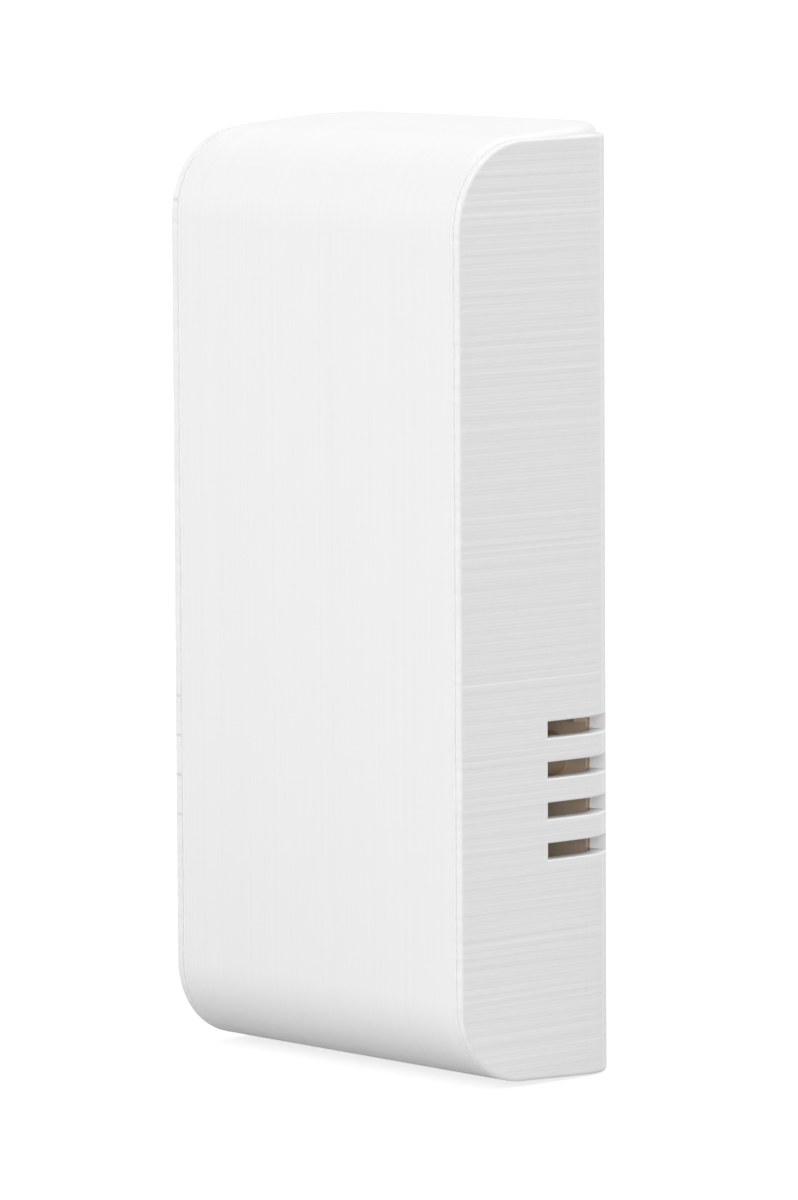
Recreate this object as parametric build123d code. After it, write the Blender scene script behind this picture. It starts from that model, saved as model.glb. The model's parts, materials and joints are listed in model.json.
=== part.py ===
from build123d import *
import os
from math import cos, pi, sin, sqrt, tan

# Wireless thermostat in millimetres. The origin is the centre of the wall face.
# X runs to the right, Y runs into the wall and Z runs up, so the front looks along -Y.

# Case, outside
case_width = 53.8
case_height = 115.2
case_depth = 28.0
wall = 2.0
front_top_radius = 10.9
front_bottom_radius = 10.2
rear_corner_radius = 7.1
side_edge_round = 0.45
top_rear_rise = 0.25
bottom_rear_drop = 0.7
rear_lip_width = 5.1

# Raised hood on top, highest at the wall
hood_front_rise = 0.5
hood_rear_rise = 1.65
hood_front_inset = 0.1
hood_corner_radius = 7.8
hood_edge_round = 1.2

# Shallow seam round front, top and bottom where each side wall ends
seam_left_inset = 1.45
seam_right_inset = 0.87
seam_width = 0.34
seam_depth = 0.15

# Vents in both side walls, from the inner face of the rear lip forwards
vent_count = 4
vent_pitch = 5.0
vent_height = 2.05
vent_length = 11.6
vent_edge_round = 0.25
vent_bottom = 26.9

# How far joined shapes run into each other, and how far cuts run past a surface
joint_overlap = 0.2
cut_margin = 1.0

# Back plate, set in the open back
plate_gap = 0.25
plate_thickness = 2.4
plate_corner_radius = 1.5
plate_rib_thickness = 1.2
plate_rib_height = 2.0
tongue_width = 24.0
tongue_thickness = 1.4
tongue_length = 5.5

# Wall-screw holes on the vertical centre line
wall_hole_radius = 2.2
wall_hole_top_margin = 6.0
wall_hole_board_rise = 4.35
wall_hole_ring_width = 2.0
wall_hole_ring_height = 0.6

# Keeper screw that holds the cover from below
keeper_head_radius = 2.75
keeper_head_height = 1.7
keeper_head_round = 0.75
keeper_shank_radius = 1.45
keeper_shank_length = 7.5
keeper_recess_arm = 3.0
keeper_recess_width = 0.7
keeper_recess_depth = 0.8
keeper_wall_distance = 5.4
keeper_pad_side = 2.8
keeper_pad_thickness = 2.2
keeper_boss_width = 8.0
keeper_boss_height = 7.0
keeper_gap = 0.2

# AA cells
cell_radius = 7.25
cell_body_length = 49.5
cell_nub_radius = 2.75
cell_nub_length = 1.0
cell_end_round = 0.5
cell_sleeve_thickness = 0.15
cell_sleeve_end_inset = 0.6
cell_pitch = 15.4
cell_gap = 0.35
cell_stop_thickness = 1.6

# Battery tray
tray_floor = 1.5
tray_side_wall = 1.2
tray_end_wall = 1.4
tray_wall_height = 10.0
tray_end_height = 13.2
tray_ridge_height = 5.2
tray_window_length = 10.0
tray_window_drop = 2.0
tray_top_margin = 11.0
tray_boss_height = 2.0
tray_boss_radius = 3.2
tray_screw_spacing = 36.0
tray_screw_head_radius = 2.2
tray_screw_head_height = 1.2
tray_screw_shank_radius = 1.2
tray_screw_seat = 1.6
tray_screw_wall_distance = 0.8
tray_screw_recess_width = 0.5

# Battery contacts
contact_thickness = 0.4
contact_width = 9.0
contact_tab_width = 3.0
contact_tab_length = 2.8
contact_tab_front = 3.1
contact_slot_gap = 0.2
contact_dimple_radius = 1.8
contact_dimple_tip_radius = 1.1
contact_dimple_height = 0.6
spring_length = 4.6
spring_wire_radius = 0.34
spring_base_radius = 4.2
spring_tip_radius = 2.2
spring_turns = 4

# Main board. Its parts are laid out on a grid of this many columns and rows.
board_thickness = 1.6
board_side_margin = 3.3
board_top_gap = 1.6
board_bottom_gap = 1.2
board_post_height = 4.0
board_corner_radius = 1.0
board_notch_gap = 3.0
board_columns = 36.5
board_rows = 28.45

# Worked-out levels. Depth is counted from the wall, so it is -Y.
half_width = case_width / 2
half_height = case_height / 2
opening_width = case_width - 2 * rear_lip_width
opening_height = case_height - 2 * wall
plate_width = opening_width - 2 * plate_gap
plate_height = opening_height - 2 * plate_gap
plate_top = plate_height / 2

tray_floor_back = plate_thickness + tray_boss_height
cell_depth = tray_floor_back + tray_floor + cell_gap + cell_radius
cell_length = cell_body_length + cell_nub_length
cell_x = cell_pitch / 2
tray_bay_length = 2 * contact_thickness + contact_dimple_height + cell_length + spring_length
tray_length = tray_bay_length + 2 * tray_end_wall
tray_width = cell_pitch + 2 * (cell_radius + cell_gap + tray_side_wall)
tray_top = plate_top - tray_top_margin
tray_bottom = tray_top - tray_length
tray_middle = (tray_top + tray_bottom) / 2
bay_top = tray_top - tray_end_wall
bay_bottom = tray_bottom + tray_end_wall
tab_depth = cell_depth + contact_tab_front
tab_end = tray_bottom - contact_tab_length

keeper_head_top = -half_height + keeper_head_height + keeper_gap
keeper_pad_top = -half_height + wall + keeper_pad_thickness
keeper_boss_bottom = keeper_pad_top + keeper_gap
keeper_boss_top = keeper_boss_bottom + keeper_boss_height

board_back = plate_thickness + board_post_height
board_front = board_back + board_thickness
board_width = plate_width - 2 * board_side_margin
board_top = tray_bottom - board_top_gap
board_bottom = keeper_boss_top + board_bottom_gap
board_height = board_top - board_bottom
board_right = board_width / 2
grid = min(board_width / board_columns, board_height / board_rows)

wall_hole_top = plate_top - wall_hole_top_margin
wall_hole_bottom = board_bottom + wall_hole_board_rise
notch_radius = wall_hole_radius + wall_hole_ring_width + board_notch_gap / 2

# Board screws and their posts
board_post_radius = 2.8 * grid
board_screw_inset = 2.9 * grid
board_screw_head_radius = 1.9 * grid
board_screw_head_height = 1.3 * grid
board_screw_head_round = 0.65 * grid
board_screw_shank_radius = 0.95 * grid
board_screw_length = 4.5
board_screw_recess_arm = 2.2 * grid
board_screw_recess_width = 0.45 * grid
board_screw_recess_depth = 0.7 * grid

# Radio module
radio_width = 14.0 * grid
radio_height = 17.0 * grid
radio_thickness = 0.8 * grid
radio_left_inset = 5.6 * grid
radio_top_inset = 0.6 * grid
radio_pad_radius = 0.35 * grid
radio_pad_pitch = 1.5 * grid
radio_pad_count = 7
shield_margin = 0.9 * grid
shield_height = 2.2 * grid
shield_length = 10.6 * grid
shield_edge_round = 0.4 * grid
shield_thickness = 0.2 * grid
antenna_track = 0.6 * grid
antenna_space = 1.1 * grid
antenna_thickness = 0.1
antenna_end_gap = 0.8 * grid
antenna_turns = 5

# Small parts on the board
part_gap = 0.6 * grid
regulator_width = 2.9 * grid
regulator_height = 1.1 * grid
regulator_length = 1.6 * grid
regulator_stand = 0.1 * grid
regulator_leg_width = 0.4 * grid
regulator_leg_thickness = 0.3 * grid
regulator_leg_length = 0.6 * grid
regulator_leg_pitch = 0.95 * grid
inductor_side = 4.0 * grid
inductor_height = 1.9 * grid
inductor_corner = 0.8 * grid
inductor_dish_radius = 1.1 * grid
inductor_dish_depth = 0.3 * grid
tantalum_width = 3.2 * grid
tantalum_height = 2.5 * grid
tantalum_length = 6.0 * grid
edge_chamfer = 0.3 * grid
chip_length = 1.6 * grid
chip_width = 0.8 * grid
chip_height = 0.7 * grid
chip_pitch = 1.7 * grid
chip_count = 5
led_width = 1.25 * grid
led_height = 0.8 * grid
led_length = 2.0 * grid
led_lens_length = 1.2 * grid
led_edge_round = 0.12 * grid

# Pairing button
button_side = 6.0 * grid
button_body_height = 3.4 * grid
button_frame_thickness = 0.3 * grid
button_radius = 1.75 * grid
button_gap = 0.06
button_proud = 1.2 * grid
button_edge_round = 0.3 * grid
button_travel = 0.25
button_well_depth = 1.6 * grid
button_dome_height = 0.2 * grid
button_dome_thickness = 0.08 * grid
button_dome_gap = 0.05
button_rise = 5.0 * grid

# Power switch
switch_width = 3.7 * grid
switch_length = 8.6 * grid
switch_rise = 6.0 * grid
switch_base_height = 1.4 * grid
switch_frame_height = 2.1 * grid
switch_frame_wall = 0.3 * grid
switch_knob_width = 1.5 * grid
switch_knob_length = 1.5 * grid
switch_knob_height = 2.2 * grid
switch_foot_length = 4.2 * grid
switch_travel = 2.0 * grid
switch_gap = 0.1

# Temperature sensor behind the vents
sensor_board_thickness = 0.8 * grid
sensor_board_height = 10.0 * grid
sensor_board_depth = 9.0 * grid
sensor_edge_inset = 0.5 * grid
sensor_stand = 0.4 * grid
sensor_hole_radius = 0.8 * grid
sensor_hole_front_inset = 1.4 * grid
sensor_hole_top_inset = 1.8 * grid
sensor_chip_side = 2.5 * grid
sensor_chip_height = 0.9 * grid
sensor_chip_offset = 4.2 * grid
sensor_chip_rise = 2.0 * grid
sensor_port_radius = 0.5 * grid
sensor_port_depth = 0.2 * grid
header_pin_count = 4
header_pin_pitch = 1.9 * grid
header_pin_side = 0.6 * grid
header_pin_reach = 0.4 * grid
header_bend_rise = 1.0 * grid
header_strip = 1.6 * grid
pin_gap = 0.03

# Battery leads and their solder joints
lead_radius = 0.6 * grid
lead_tab_gap = 0.1 * grid
lead_tab_lap = 1.4
lead_bend_share = 0.45
solder_radius = 1.1 * grid
solder_tip_radius = 0.66 * grid
solder_height = 0.9 * grid
solder_tab_width = 1.8 * grid
solder_tab_length = 1.6 * grid
solder_tab_depth = 1.0 * grid
pad_spacing = 3.6 * grid
pad_inset = 5.6 * grid

# Worked-out places of the parts on the board
radio_left = -board_right + radio_left_inset
radio_top = board_top - radio_top_inset
radio_bottom = radio_top - radio_height
radio_x = radio_left + radio_width / 2
radio_z = radio_top - radio_height / 2
side_x = (notch_radius + board_right - board_screw_inset - board_screw_head_radius) / 2
button_z = board_bottom + button_rise
switch_z = board_bottom + switch_rise
led_z = button_z + button_side / 2 + part_gap + led_width
resistor_x = radio_left + radio_width + part_gap + chip_length / 2
power_x = resistor_x + chip_length / 2 + part_gap + inductor_side / 2
capacitor_x = power_x + inductor_side / 2 + part_gap + chip_length / 2
tantalum_x = capacitor_x + chip_length / 2 + part_gap + tantalum_width / 2
pad_left_x = resistor_x + part_gap
pad_right_x = pad_left_x + pad_spacing
pad_z = board_top - pad_inset
power_z = pad_z - solder_radius - part_gap
lead_drop = tab_end - pad_z
sensor_x = board_right - sensor_edge_inset
sensor_back = board_front + header_strip + sensor_stand
header_x = sensor_x - sensor_board_thickness - header_strip / 2
header_length = header_pin_count * header_pin_pitch
header_bend = board_front + header_strip + header_bend_rise
sensor_z = board_top - board_screw_inset - board_screw_head_radius - part_gap - header_length / 2
button_front = board_front + button_body_height
button_floor = button_front - button_frame_thickness - button_well_depth


def box_at(size, x, depth, z):
    """Box centred on x and z whose back face is at the given depth from the wall."""
    return Pos(x, -depth - size[1] / 2, z) * Box(*size)


def rod_along_depth(radius, x, near, far, z):
    """Round rod along Y between two depths from the wall."""
    return Pos(x, -(near + far) / 2, z) * Rot(90, 0, 0) * Cylinder(radius, far - near)


def cone_along_depth(near_radius, far_radius, x, near, far, z):
    """Cone along Y between two depths from the wall."""
    return Pos(x, -(near + far) / 2, z) * Rot(90, 0, 0) * Cone(near_radius, far_radius, far - near)


def rod_along_z(radius, x, depth, low, high):
    """Upright round rod between two heights."""
    return Pos(x, -depth, (low + high) / 2) * Cylinder(radius, high - low)


def cross_cut(arm, width, depth):
    """Cross-shaped recess for a screwdriver, lying in the XZ plane."""
    return Box(arm, depth, width) + Box(width, depth, arm)


def side_outline(depth, top, bottom, top_rise, bottom_drop, top_radius, bottom_radius):
    """D-shaped outline seen from the side. Its top and bottom spread towards the wall."""
    top_slope = top_rise / (depth - top_radius)
    bottom_slope = bottom_drop / (depth - bottom_radius)
    corners = Polyline(
        (0, bottom - bottom_drop),
        (0, top + top_rise),
        (-depth, top + top_rise - top_slope * depth),
        (-depth, bottom - bottom_drop + bottom_slope * depth),
        close=True,
    )
    face = Plane.YZ * make_face(corners)
    face = fillet(face.vertices().group_by(Axis.Y)[0].sort_by(Axis.Z)[-1], top_radius)
    return fillet(face.vertices().group_by(Axis.Y)[0].sort_by(Axis.Z)[0], bottom_radius)


def case_outline(inset):
    """Outline of the case, moved inwards by an inset on all sides but the wall side."""
    return side_outline(
        case_depth - inset,
        half_height - inset,
        -half_height + inset,
        top_rear_rise,
        bottom_rear_drop,
        front_top_radius - inset,
        front_bottom_radius - inset,
    )


def with_rear_corners(body, corner_radius):
    """Round the two upright rear corners of a body."""
    return fillet(body.edges().filter_by(Axis.Z).group_by(Axis.Y)[-1], corner_radius)


def make_case_body():
    body = with_rear_corners(extrude(case_outline(0), half_width, both=True), rear_corner_radius)
    sides = body.faces().filter_by(Axis.X).sort_by(Axis.X)
    front = -rear_corner_radius - joint_overlap
    rims = [e for e in sides[0].edges() + sides[-1].edges() if e.center().Y < front]
    body = fillet(rims, side_edge_round)
    slab = Box(seam_width, 3 * case_depth, 2 * case_height)
    seam = slab - extrude(case_outline(seam_depth), seam_width, both=True)
    for x in (-half_width + seam_left_inset, half_width - seam_right_inset):
        body -= Pos(x, 0, 0) * seam
    return body


def make_hood():
    """Raised hood on top. It dives into the case at the front rounding."""
    depth = case_depth - hood_front_inset
    top_radius = front_top_radius + hood_front_rise
    left = -half_width + seam_left_inset + seam_width / 2
    right = half_width - seam_right_inset - seam_width / 2
    outline = side_outline(
        depth,
        half_height + hood_front_rise,
        0,
        hood_rear_rise - hood_front_rise,
        0,
        top_radius,
        front_bottom_radius,
    )
    body = with_rear_corners(extrude(outline, (right - left) / 2, both=True), hood_corner_radius)
    rims = body.faces().filter_by(Axis.X).sort_by(Axis.X)
    tops = [rims[0].edges().sort_by(Axis.Z)[-1], rims[-1].edges().sort_by(Axis.Z)[-1]]
    body = Pos((left + right) / 2, 0, 0) * fillet(tops, hood_edge_round)
    keep = box_at((case_width, case_depth, half_height), 0, 0, half_height)
    return body & keep


def make_inside():
    inside = side_outline(
        case_depth - 2 * wall,
        half_height - wall,
        -half_height + wall,
        0,
        0,
        front_top_radius - wall,
        front_bottom_radius - wall,
    )
    body = extrude(inside, half_width - wall, both=True)
    return Pos(0, -wall, 0) * with_rear_corners(body, rear_corner_radius - wall)


def make_cover():
    cover = make_case_body() + make_hood() - make_inside()
    cover -= box_at((opening_width, wall + 2 * cut_margin, opening_height), 0, -cut_margin, 0)
    pad_width = 2 * (keeper_head_radius + keeper_gap + keeper_pad_side)
    pad_depth = keeper_wall_distance + keeper_head_radius - plate_thickness + 2 * keeper_gap
    pad_height = keeper_pad_thickness + wall / 2
    cover += box_at((pad_width, pad_depth, pad_height), 0, plate_thickness + plate_gap,
                    keeper_pad_top - pad_height / 2)
    cover = cover - keeper_pocket() - vent_cuts()
    return fillet(vent_rims(cover), vent_edge_round) + cell_stops()


def keeper_pocket():
    """Pocket for the screw head and notch for its shank, both open towards the wall."""
    below = -half_height - bottom_rear_drop - cut_margin
    above = keeper_pad_top + cut_margin
    head = keeper_head_radius + keeper_gap
    shank = keeper_shank_radius + keeper_gap
    pocket = open_notch(head, below, keeper_head_top)
    pocket += open_notch(shank, below, above)
    rear = plate_thickness + plate_gap + cut_margin
    pocket += box_at((2 * head, rear, keeper_pad_top - below), 0, -cut_margin, (below + keeper_pad_top) / 2)
    return pocket


def open_notch(radius, low, high):
    """Round-ended notch about the keeper screw, open towards the wall."""
    notch = rod_along_z(radius, 0, keeper_wall_distance, low, high)
    depth = keeper_wall_distance + cut_margin
    return notch + box_at((2 * radius, depth, high - low), 0, -cut_margin, (low + high) / 2)


def vent_cuts():
    """Level slots through both side walls."""
    first = -half_height + vent_bottom + vent_height / 2
    cuts = []
    for side in (-1, 1):
        for row in range(vent_count):
            size = (2 * rear_lip_width + cut_margin, vent_length, vent_height)
            cuts.append(box_at(size, side * half_width, wall, first + row * vent_pitch))
    return cuts


def vent_rims(cover):
    """Outer edges of the vents, straight on the side walls and curved on the rear corners."""
    low = -half_height + vent_bottom - joint_overlap
    high = low + vent_count * vent_pitch
    rims = []
    for edge in cover.edges().filter_by_position(Axis.Z, low, high):
        spot = edge.center()
        if edge.geom_type == GeomType.CIRCLE:
            outer = edge.radius > rear_corner_radius - joint_overlap
        else:
            outer = abs(spot.X) > half_width - joint_overlap and -spot.Y > rear_corner_radius + joint_overlap
        if outer:
            rims.append(edge)
    return rims


def cell_stops():
    """Two ribs inside the front that keep the cells in their tray."""
    reach = case_depth - wall - (cell_depth + cell_radius) - 2 * cell_gap
    size = (cell_pitch + cell_radius, reach + wall / 2, cell_stop_thickness)
    return [box_at(size, 0, case_depth - wall - reach, z) for z in tray_screw_places()]


def make_back_plate():
    plate = box_at((plate_width, plate_thickness, plate_height), 0, 0, 0)
    plate = fillet(plate.edges().filter_by(Axis.Y), plate_corner_radius)
    front = plate_thickness - joint_overlap
    rib = (plate_rib_thickness, plate_rib_height + joint_overlap, tray_length)
    for side in (-1, 1):
        plate += box_at(rib, side * (plate_width - plate_rib_thickness) / 2, front, tray_middle)
    tongue = (tongue_width, tongue_length + joint_overlap, tongue_thickness)
    plate += box_at(tongue, 0, front, plate_top - tongue_thickness / 2)
    for x, z in board_screw_places():
        hole_end = board_front - board_screw_length
        plate += rod_along_depth(board_post_radius, x, front, board_back, z)
        plate -= rod_along_depth(board_screw_shank_radius, x, hole_end, board_back + cut_margin, z)
    for z in tray_screw_places():
        hole_end = tray_screw_wall_distance - joint_overlap
        plate += rod_along_depth(tray_boss_radius, 0, front, tray_floor_back, z)
        plate -= rod_along_depth(tray_screw_shank_radius, 0, hole_end, tray_floor_back + cut_margin, z)
    ring_front = plate_thickness + wall_hole_ring_height
    for z in (wall_hole_top, wall_hole_bottom):
        plate += rod_along_depth(wall_hole_radius + wall_hole_ring_width, 0, front, ring_front, z)
        plate -= rod_along_depth(wall_hole_radius, 0, -cut_margin, ring_front + cut_margin, z)
    boss = (keeper_boss_width, keeper_wall_distance + keeper_head_radius - front, keeper_boss_height)
    plate += box_at(boss, 0, front, (keeper_boss_bottom + keeper_boss_top) / 2)
    shank_top = keeper_head_top - keeper_gap / 2 + keeper_shank_length
    low = keeper_boss_bottom - cut_margin
    return plate - rod_along_z(keeper_shank_radius, 0, keeper_wall_distance, low, shank_top)


def make_keeper_screw():
    head_top = keeper_head_top - keeper_gap / 2
    head_bottom = head_top - keeper_head_height
    head = rod_along_z(keeper_head_radius, 0, keeper_wall_distance, head_bottom, head_top)
    head = fillet(head.edges().sort_by(Axis.Z)[0], keeper_head_round)
    low = head_top - joint_overlap
    shank = rod_along_z(keeper_shank_radius, 0, keeper_wall_distance, low, head_top + keeper_shank_length)
    recess = Rot(90, 0, 0) * cross_cut(keeper_recess_arm, keeper_recess_width, 2 * keeper_recess_depth)
    return head + shank - Pos(0, -keeper_wall_distance, head_bottom) * recess


def board_screw_places():
    x = board_right - board_screw_inset
    top = board_top - board_screw_inset
    bottom = board_bottom + board_screw_inset
    return [(-x, bottom), (x, bottom), (-x, top), (x, top)]


def tray_screw_places():
    return [tray_middle - tray_screw_spacing / 2, tray_middle + tray_screw_spacing / 2]


def flat_headed_screw(z):
    """Countersunk tray screw, with its head in the ridge between the cells."""
    head_back = tray_floor_back + tray_screw_seat
    head_front = head_back + tray_screw_head_height
    cone = cone_along_depth(tray_screw_shank_radius, tray_screw_head_radius, 0, head_back, head_front, z)
    shank_end = head_back + joint_overlap
    shank = rod_along_depth(tray_screw_shank_radius, 0, tray_screw_wall_distance, shank_end, z)
    recess = cross_cut(1.5 * tray_screw_head_radius, tray_screw_recess_width, tray_screw_head_height)
    return cone + shank - Pos(0, -head_front, z) * recess


def pan_headed_screw(x, z):
    """Small board screw with a domed cross-recess head."""
    head_front = board_front + board_screw_head_height
    head = rod_along_depth(board_screw_head_radius, x, board_front, head_front, z)
    head = fillet(head.edges().sort_by(Axis.Y)[0], board_screw_head_round)
    shank_start = board_front - board_screw_length + joint_overlap
    shank = rod_along_depth(board_screw_shank_radius, x, shank_start, board_front + joint_overlap, z)
    recess = cross_cut(board_screw_recess_arm, board_screw_recess_width, 2 * board_screw_recess_depth)
    return head + shank - Pos(x, -head_front, z) * recess


def make_battery_tray():
    tray = box_at((tray_width, tray_wall_height, tray_length), 0, tray_floor_back, tray_middle)
    for z in (tray_top - tray_end_wall / 2, tray_bottom + tray_end_wall / 2):
        tray += box_at((tray_width, tray_end_height, tray_end_wall), 0, tray_floor_back, z)
    bay = (2 * (cell_radius + cell_gap), case_depth, tray_bay_length)
    slot = (
        contact_tab_width + 2 * contact_slot_gap,
        contact_thickness + 2 * contact_slot_gap,
        3 * tray_end_wall,
    )
    for x in (-cell_x, cell_x):
        tray -= rod_along_z(cell_radius + cell_gap, x, cell_depth, bay_bottom, bay_top)
        tray -= box_at(bay, x, cell_depth, tray_middle)
        tray -= box_at(slot, x, tab_depth - contact_slot_gap, tray_bottom)
    ridge_front = tray_floor_back + tray_floor + tray_ridge_height
    tray -= box_at((cell_radius, case_depth, tray_bay_length), 0, ridge_front, tray_middle)
    bridge_slot = (cell_pitch, case_depth, contact_thickness + contact_slot_gap)
    bridge_back = cell_depth - contact_width / 2 - contact_slot_gap
    tray -= box_at(bridge_slot, 0, bridge_back, bay_top - bridge_slot[2] / 2)
    seat = tray_floor_back + tray_screw_seat
    head_front = seat + tray_screw_head_height
    shank_end = seat + joint_overlap
    for z in tray_screw_places():
        tray -= rod_along_depth(tray_screw_shank_radius, 0, tray_floor_back - cut_margin, shank_end, z)
        tray -= cone_along_depth(tray_screw_shank_radius, tray_screw_head_radius, 0, seat, head_front, z)
        tray -= rod_along_depth(tray_screw_head_radius, 0, head_front, case_depth, z)
    window = (tray_width + 2 * cut_margin, tray_wall_height, tray_window_length)
    for side in (-1, 1):
        tray -= box_at(window, 0, cell_depth - tray_window_drop, tray_middle + side * tray_bay_length / 4)
    return tray


def cell_ends(up):
    """Flat end, shoulder and nub tip heights of a cell, nub up or nub down."""
    way = 1 if up else -1
    contact = bay_top if up else bay_bottom
    tip = contact - way * (contact_thickness + contact_dimple_height)
    return tip - way * cell_length, tip - way * cell_nub_length, tip


def make_cell_can(x, up):
    flat_end, shoulder, tip = cell_ends(up)
    low, high = sorted((flat_end, shoulder))
    can = rod_along_z(cell_radius - cell_sleeve_thickness, x, cell_depth, low, high)
    can = fillet(can.edges().filter_by(GeomType.CIRCLE), cell_end_round)
    root = shoulder - joint_overlap if up else shoulder + joint_overlap
    low, high = sorted((root, tip))
    return can + rod_along_z(cell_nub_radius, x, cell_depth, low, high)


def make_cell_sleeve(x, up):
    flat_end, shoulder, tip = cell_ends(up)
    low, high = sorted((flat_end, shoulder))
    inset = cell_sleeve_end_inset
    outer = rod_along_z(cell_radius, x, cell_depth, low + inset, high - inset)
    return outer - rod_along_z(cell_radius - cell_sleeve_thickness, x, cell_depth, low, high)


def contact_plate(x, z, width):
    return box_at((width, contact_width, contact_thickness), x, cell_depth - contact_width / 2, z)


def contact_tab(x):
    """Solder tab that passes through the lower end wall of the tray."""
    top = bay_bottom + contact_thickness
    size = (contact_tab_width, contact_thickness, top - tab_end)
    return box_at(size, x, tab_depth, (top + tab_end) / 2)


def contact_dimple(x, base, way):
    """Raised dimple that meets the nub of a cell."""
    low_radius, high_radius = contact_dimple_radius, contact_dimple_tip_radius
    if way < 0:
        low_radius, high_radius = high_radius, low_radius
    cone = Cone(low_radius, high_radius, contact_dimple_height)
    return Pos(x, -cell_depth, base + way * contact_dimple_height / 2) * cone


def make_negative_contact():
    return contact_plate(-cell_x, bay_bottom + contact_thickness / 2, contact_width) + contact_tab(-cell_x)


def make_positive_contact():
    plate = contact_plate(cell_x, bay_bottom + contact_thickness / 2, contact_width)
    return plate + contact_dimple(cell_x, bay_bottom + contact_thickness, 1) + contact_tab(cell_x)


def make_bridge_contact():
    plate = contact_plate(0, bay_top - contact_thickness / 2, cell_pitch + contact_width)
    return plate + contact_dimple(-cell_x, bay_top - contact_thickness, -1)


def tapered_coil(x, start_z, way):
    """Conical spring from a contact towards a cell, as one unbroken round wire."""
    rise = (spring_length - 2 * spring_wire_radius) * way
    taper = spring_tip_radius - spring_base_radius
    full_turn = 2 * pi * spring_turns
    steps = 4 * spring_turns
    points = []
    tangents = []
    for step in range(steps + 1):
        share = step / steps
        angle = full_turn * share
        radius = spring_base_radius + taper * share
        z = start_z + spring_wire_radius * way + rise * share
        points.append(Vector(x + radius * cos(angle), -cell_depth + radius * sin(angle), z))
        across = taper * cos(angle) - radius * full_turn * sin(angle)
        along = taper * sin(angle) + radius * full_turn * cos(angle)
        tangents.append(Vector(across, along, rise).normalized())
    arcs = []
    for step in range(steps):
        arcs += two_arcs(points[step], tangents[step], points[step + 1], tangents[step + 1])
    section = Plane(origin=points[0], z_dir=tangents[0]) * Circle(spring_wire_radius)
    return sweep(section, Wire(arcs))


def two_arcs(start, start_dir, end, end_dir):
    """Two arcs that join two points with the given directions."""
    chord = end - start
    square = 2 * (1 - start_dir.dot(end_dir))
    along = chord.dot(start_dir + end_dir)
    reach = (sqrt(along * along + square * chord.dot(chord)) - along) / square
    middle = (start + end + (start_dir - end_dir) * reach) * 0.5
    middle_dir = (end - end_dir * reach) - (start + start_dir * reach)
    return [
        TangentArc(start, middle, tangent=start_dir).edge(),
        TangentArc(middle, end, tangent=middle_dir.normalized()).edge(),
    ]


def coil_gap():
    """Least gap between neighbouring turns of a spring."""
    drop = (spring_length - 2 * spring_wire_radius) / spring_turns
    taper = (spring_base_radius - spring_tip_radius) / spring_turns
    return sqrt(drop * drop + taper * taper) - 2 * spring_wire_radius


def black_lead_points():
    """From the left tab down and across in front of the radio module, then back to the board."""
    front = tab_depth + contact_thickness + lead_tab_gap + lead_radius
    across = pad_left_x + cell_x
    return [
        Vector(-cell_x, -front, tab_end + lead_tab_lap),
        Vector(-cell_x + 0.04 * across, -front - lead_radius, tab_end - 0.77 * lead_drop),
        Vector(-cell_x + 0.52 * across, -front - 2 * lead_radius, pad_z - 0.59 * lead_drop),
        Vector(-cell_x + 0.93 * across, -front + 3 * lead_radius, pad_z - 0.45 * lead_drop),
        Vector(pad_left_x, -board_front - solder_height / 2, pad_z),
    ]


def red_lead_points():
    """From the right tab down and back to the board in one bend."""
    front = tab_depth + contact_thickness + lead_tab_gap + lead_radius
    return [
        Vector(cell_x, -front, tab_end + lead_tab_lap),
        Vector(cell_x, -front, pad_z + lead_radius / 2),
        Vector(pad_right_x, -board_front - solder_height / 2, pad_z),
    ]


def make_lead(points):
    radii = []
    for i in range(1, len(points) - 1):
        before = points[i] - points[i - 1]
        after = points[i + 1] - points[i]
        turn = before.get_angle(after) * pi / 180
        radii.append(lead_bend_share * min(before.length, after.length) / tan(turn / 2))
    print("lead arc radii:", [round(r, 2) for r in radii])
    path = FilletPolyline(*points, radius=radii)
    section = Plane(origin=points[0], z_dir=(points[1] - points[0]).normalized()) * Circle(lead_radius)
    return sweep(section, path)


def make_solder_joints(leads):
    joints = []
    for x in (pad_left_x, pad_right_x):
        front = board_front + solder_height
        joints.append(cone_along_depth(solder_radius, solder_tip_radius, x, board_front, front, pad_z))
    tab = (solder_tab_width, solder_tab_depth, solder_tab_length)
    for x in (-cell_x, cell_x):
        joints.append(box_at(tab, x, tab_depth + contact_thickness, tab_end + 0.75 * solder_tab_length))
    return [joint - leads for joint in joints]


def make_main_board():
    size = (board_width, board_thickness, board_height)
    board = box_at(size, 0, board_back, (board_top + board_bottom) / 2)
    board = fillet(board.edges().filter_by(Axis.Y), board_corner_radius)
    near = board_back - cut_margin
    far = board_front + cut_margin
    for x, z in board_screw_places():
        board -= rod_along_depth(board_screw_shank_radius + joint_overlap, x, near, far, z)
    board -= rod_along_depth(notch_radius, 0, near, far, wall_hole_bottom)
    drop = wall_hole_board_rise + cut_margin
    return board - box_at((2 * notch_radius, far - near, drop), 0, near, wall_hole_bottom - drop / 2)


def make_radio_board():
    board = box_at((radio_width, radio_thickness, radio_height), radio_x, board_front, radio_z)
    far = board_front + radio_thickness + cut_margin
    for side in (-1, 1):
        for row in range(radio_pad_count):
            z = radio_bottom + (row + 1) * radio_pad_pitch
            x = radio_x + side * radio_width / 2
            board -= rod_along_depth(radio_pad_radius, x, board_front - cut_margin, far, z)
    return board


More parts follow.
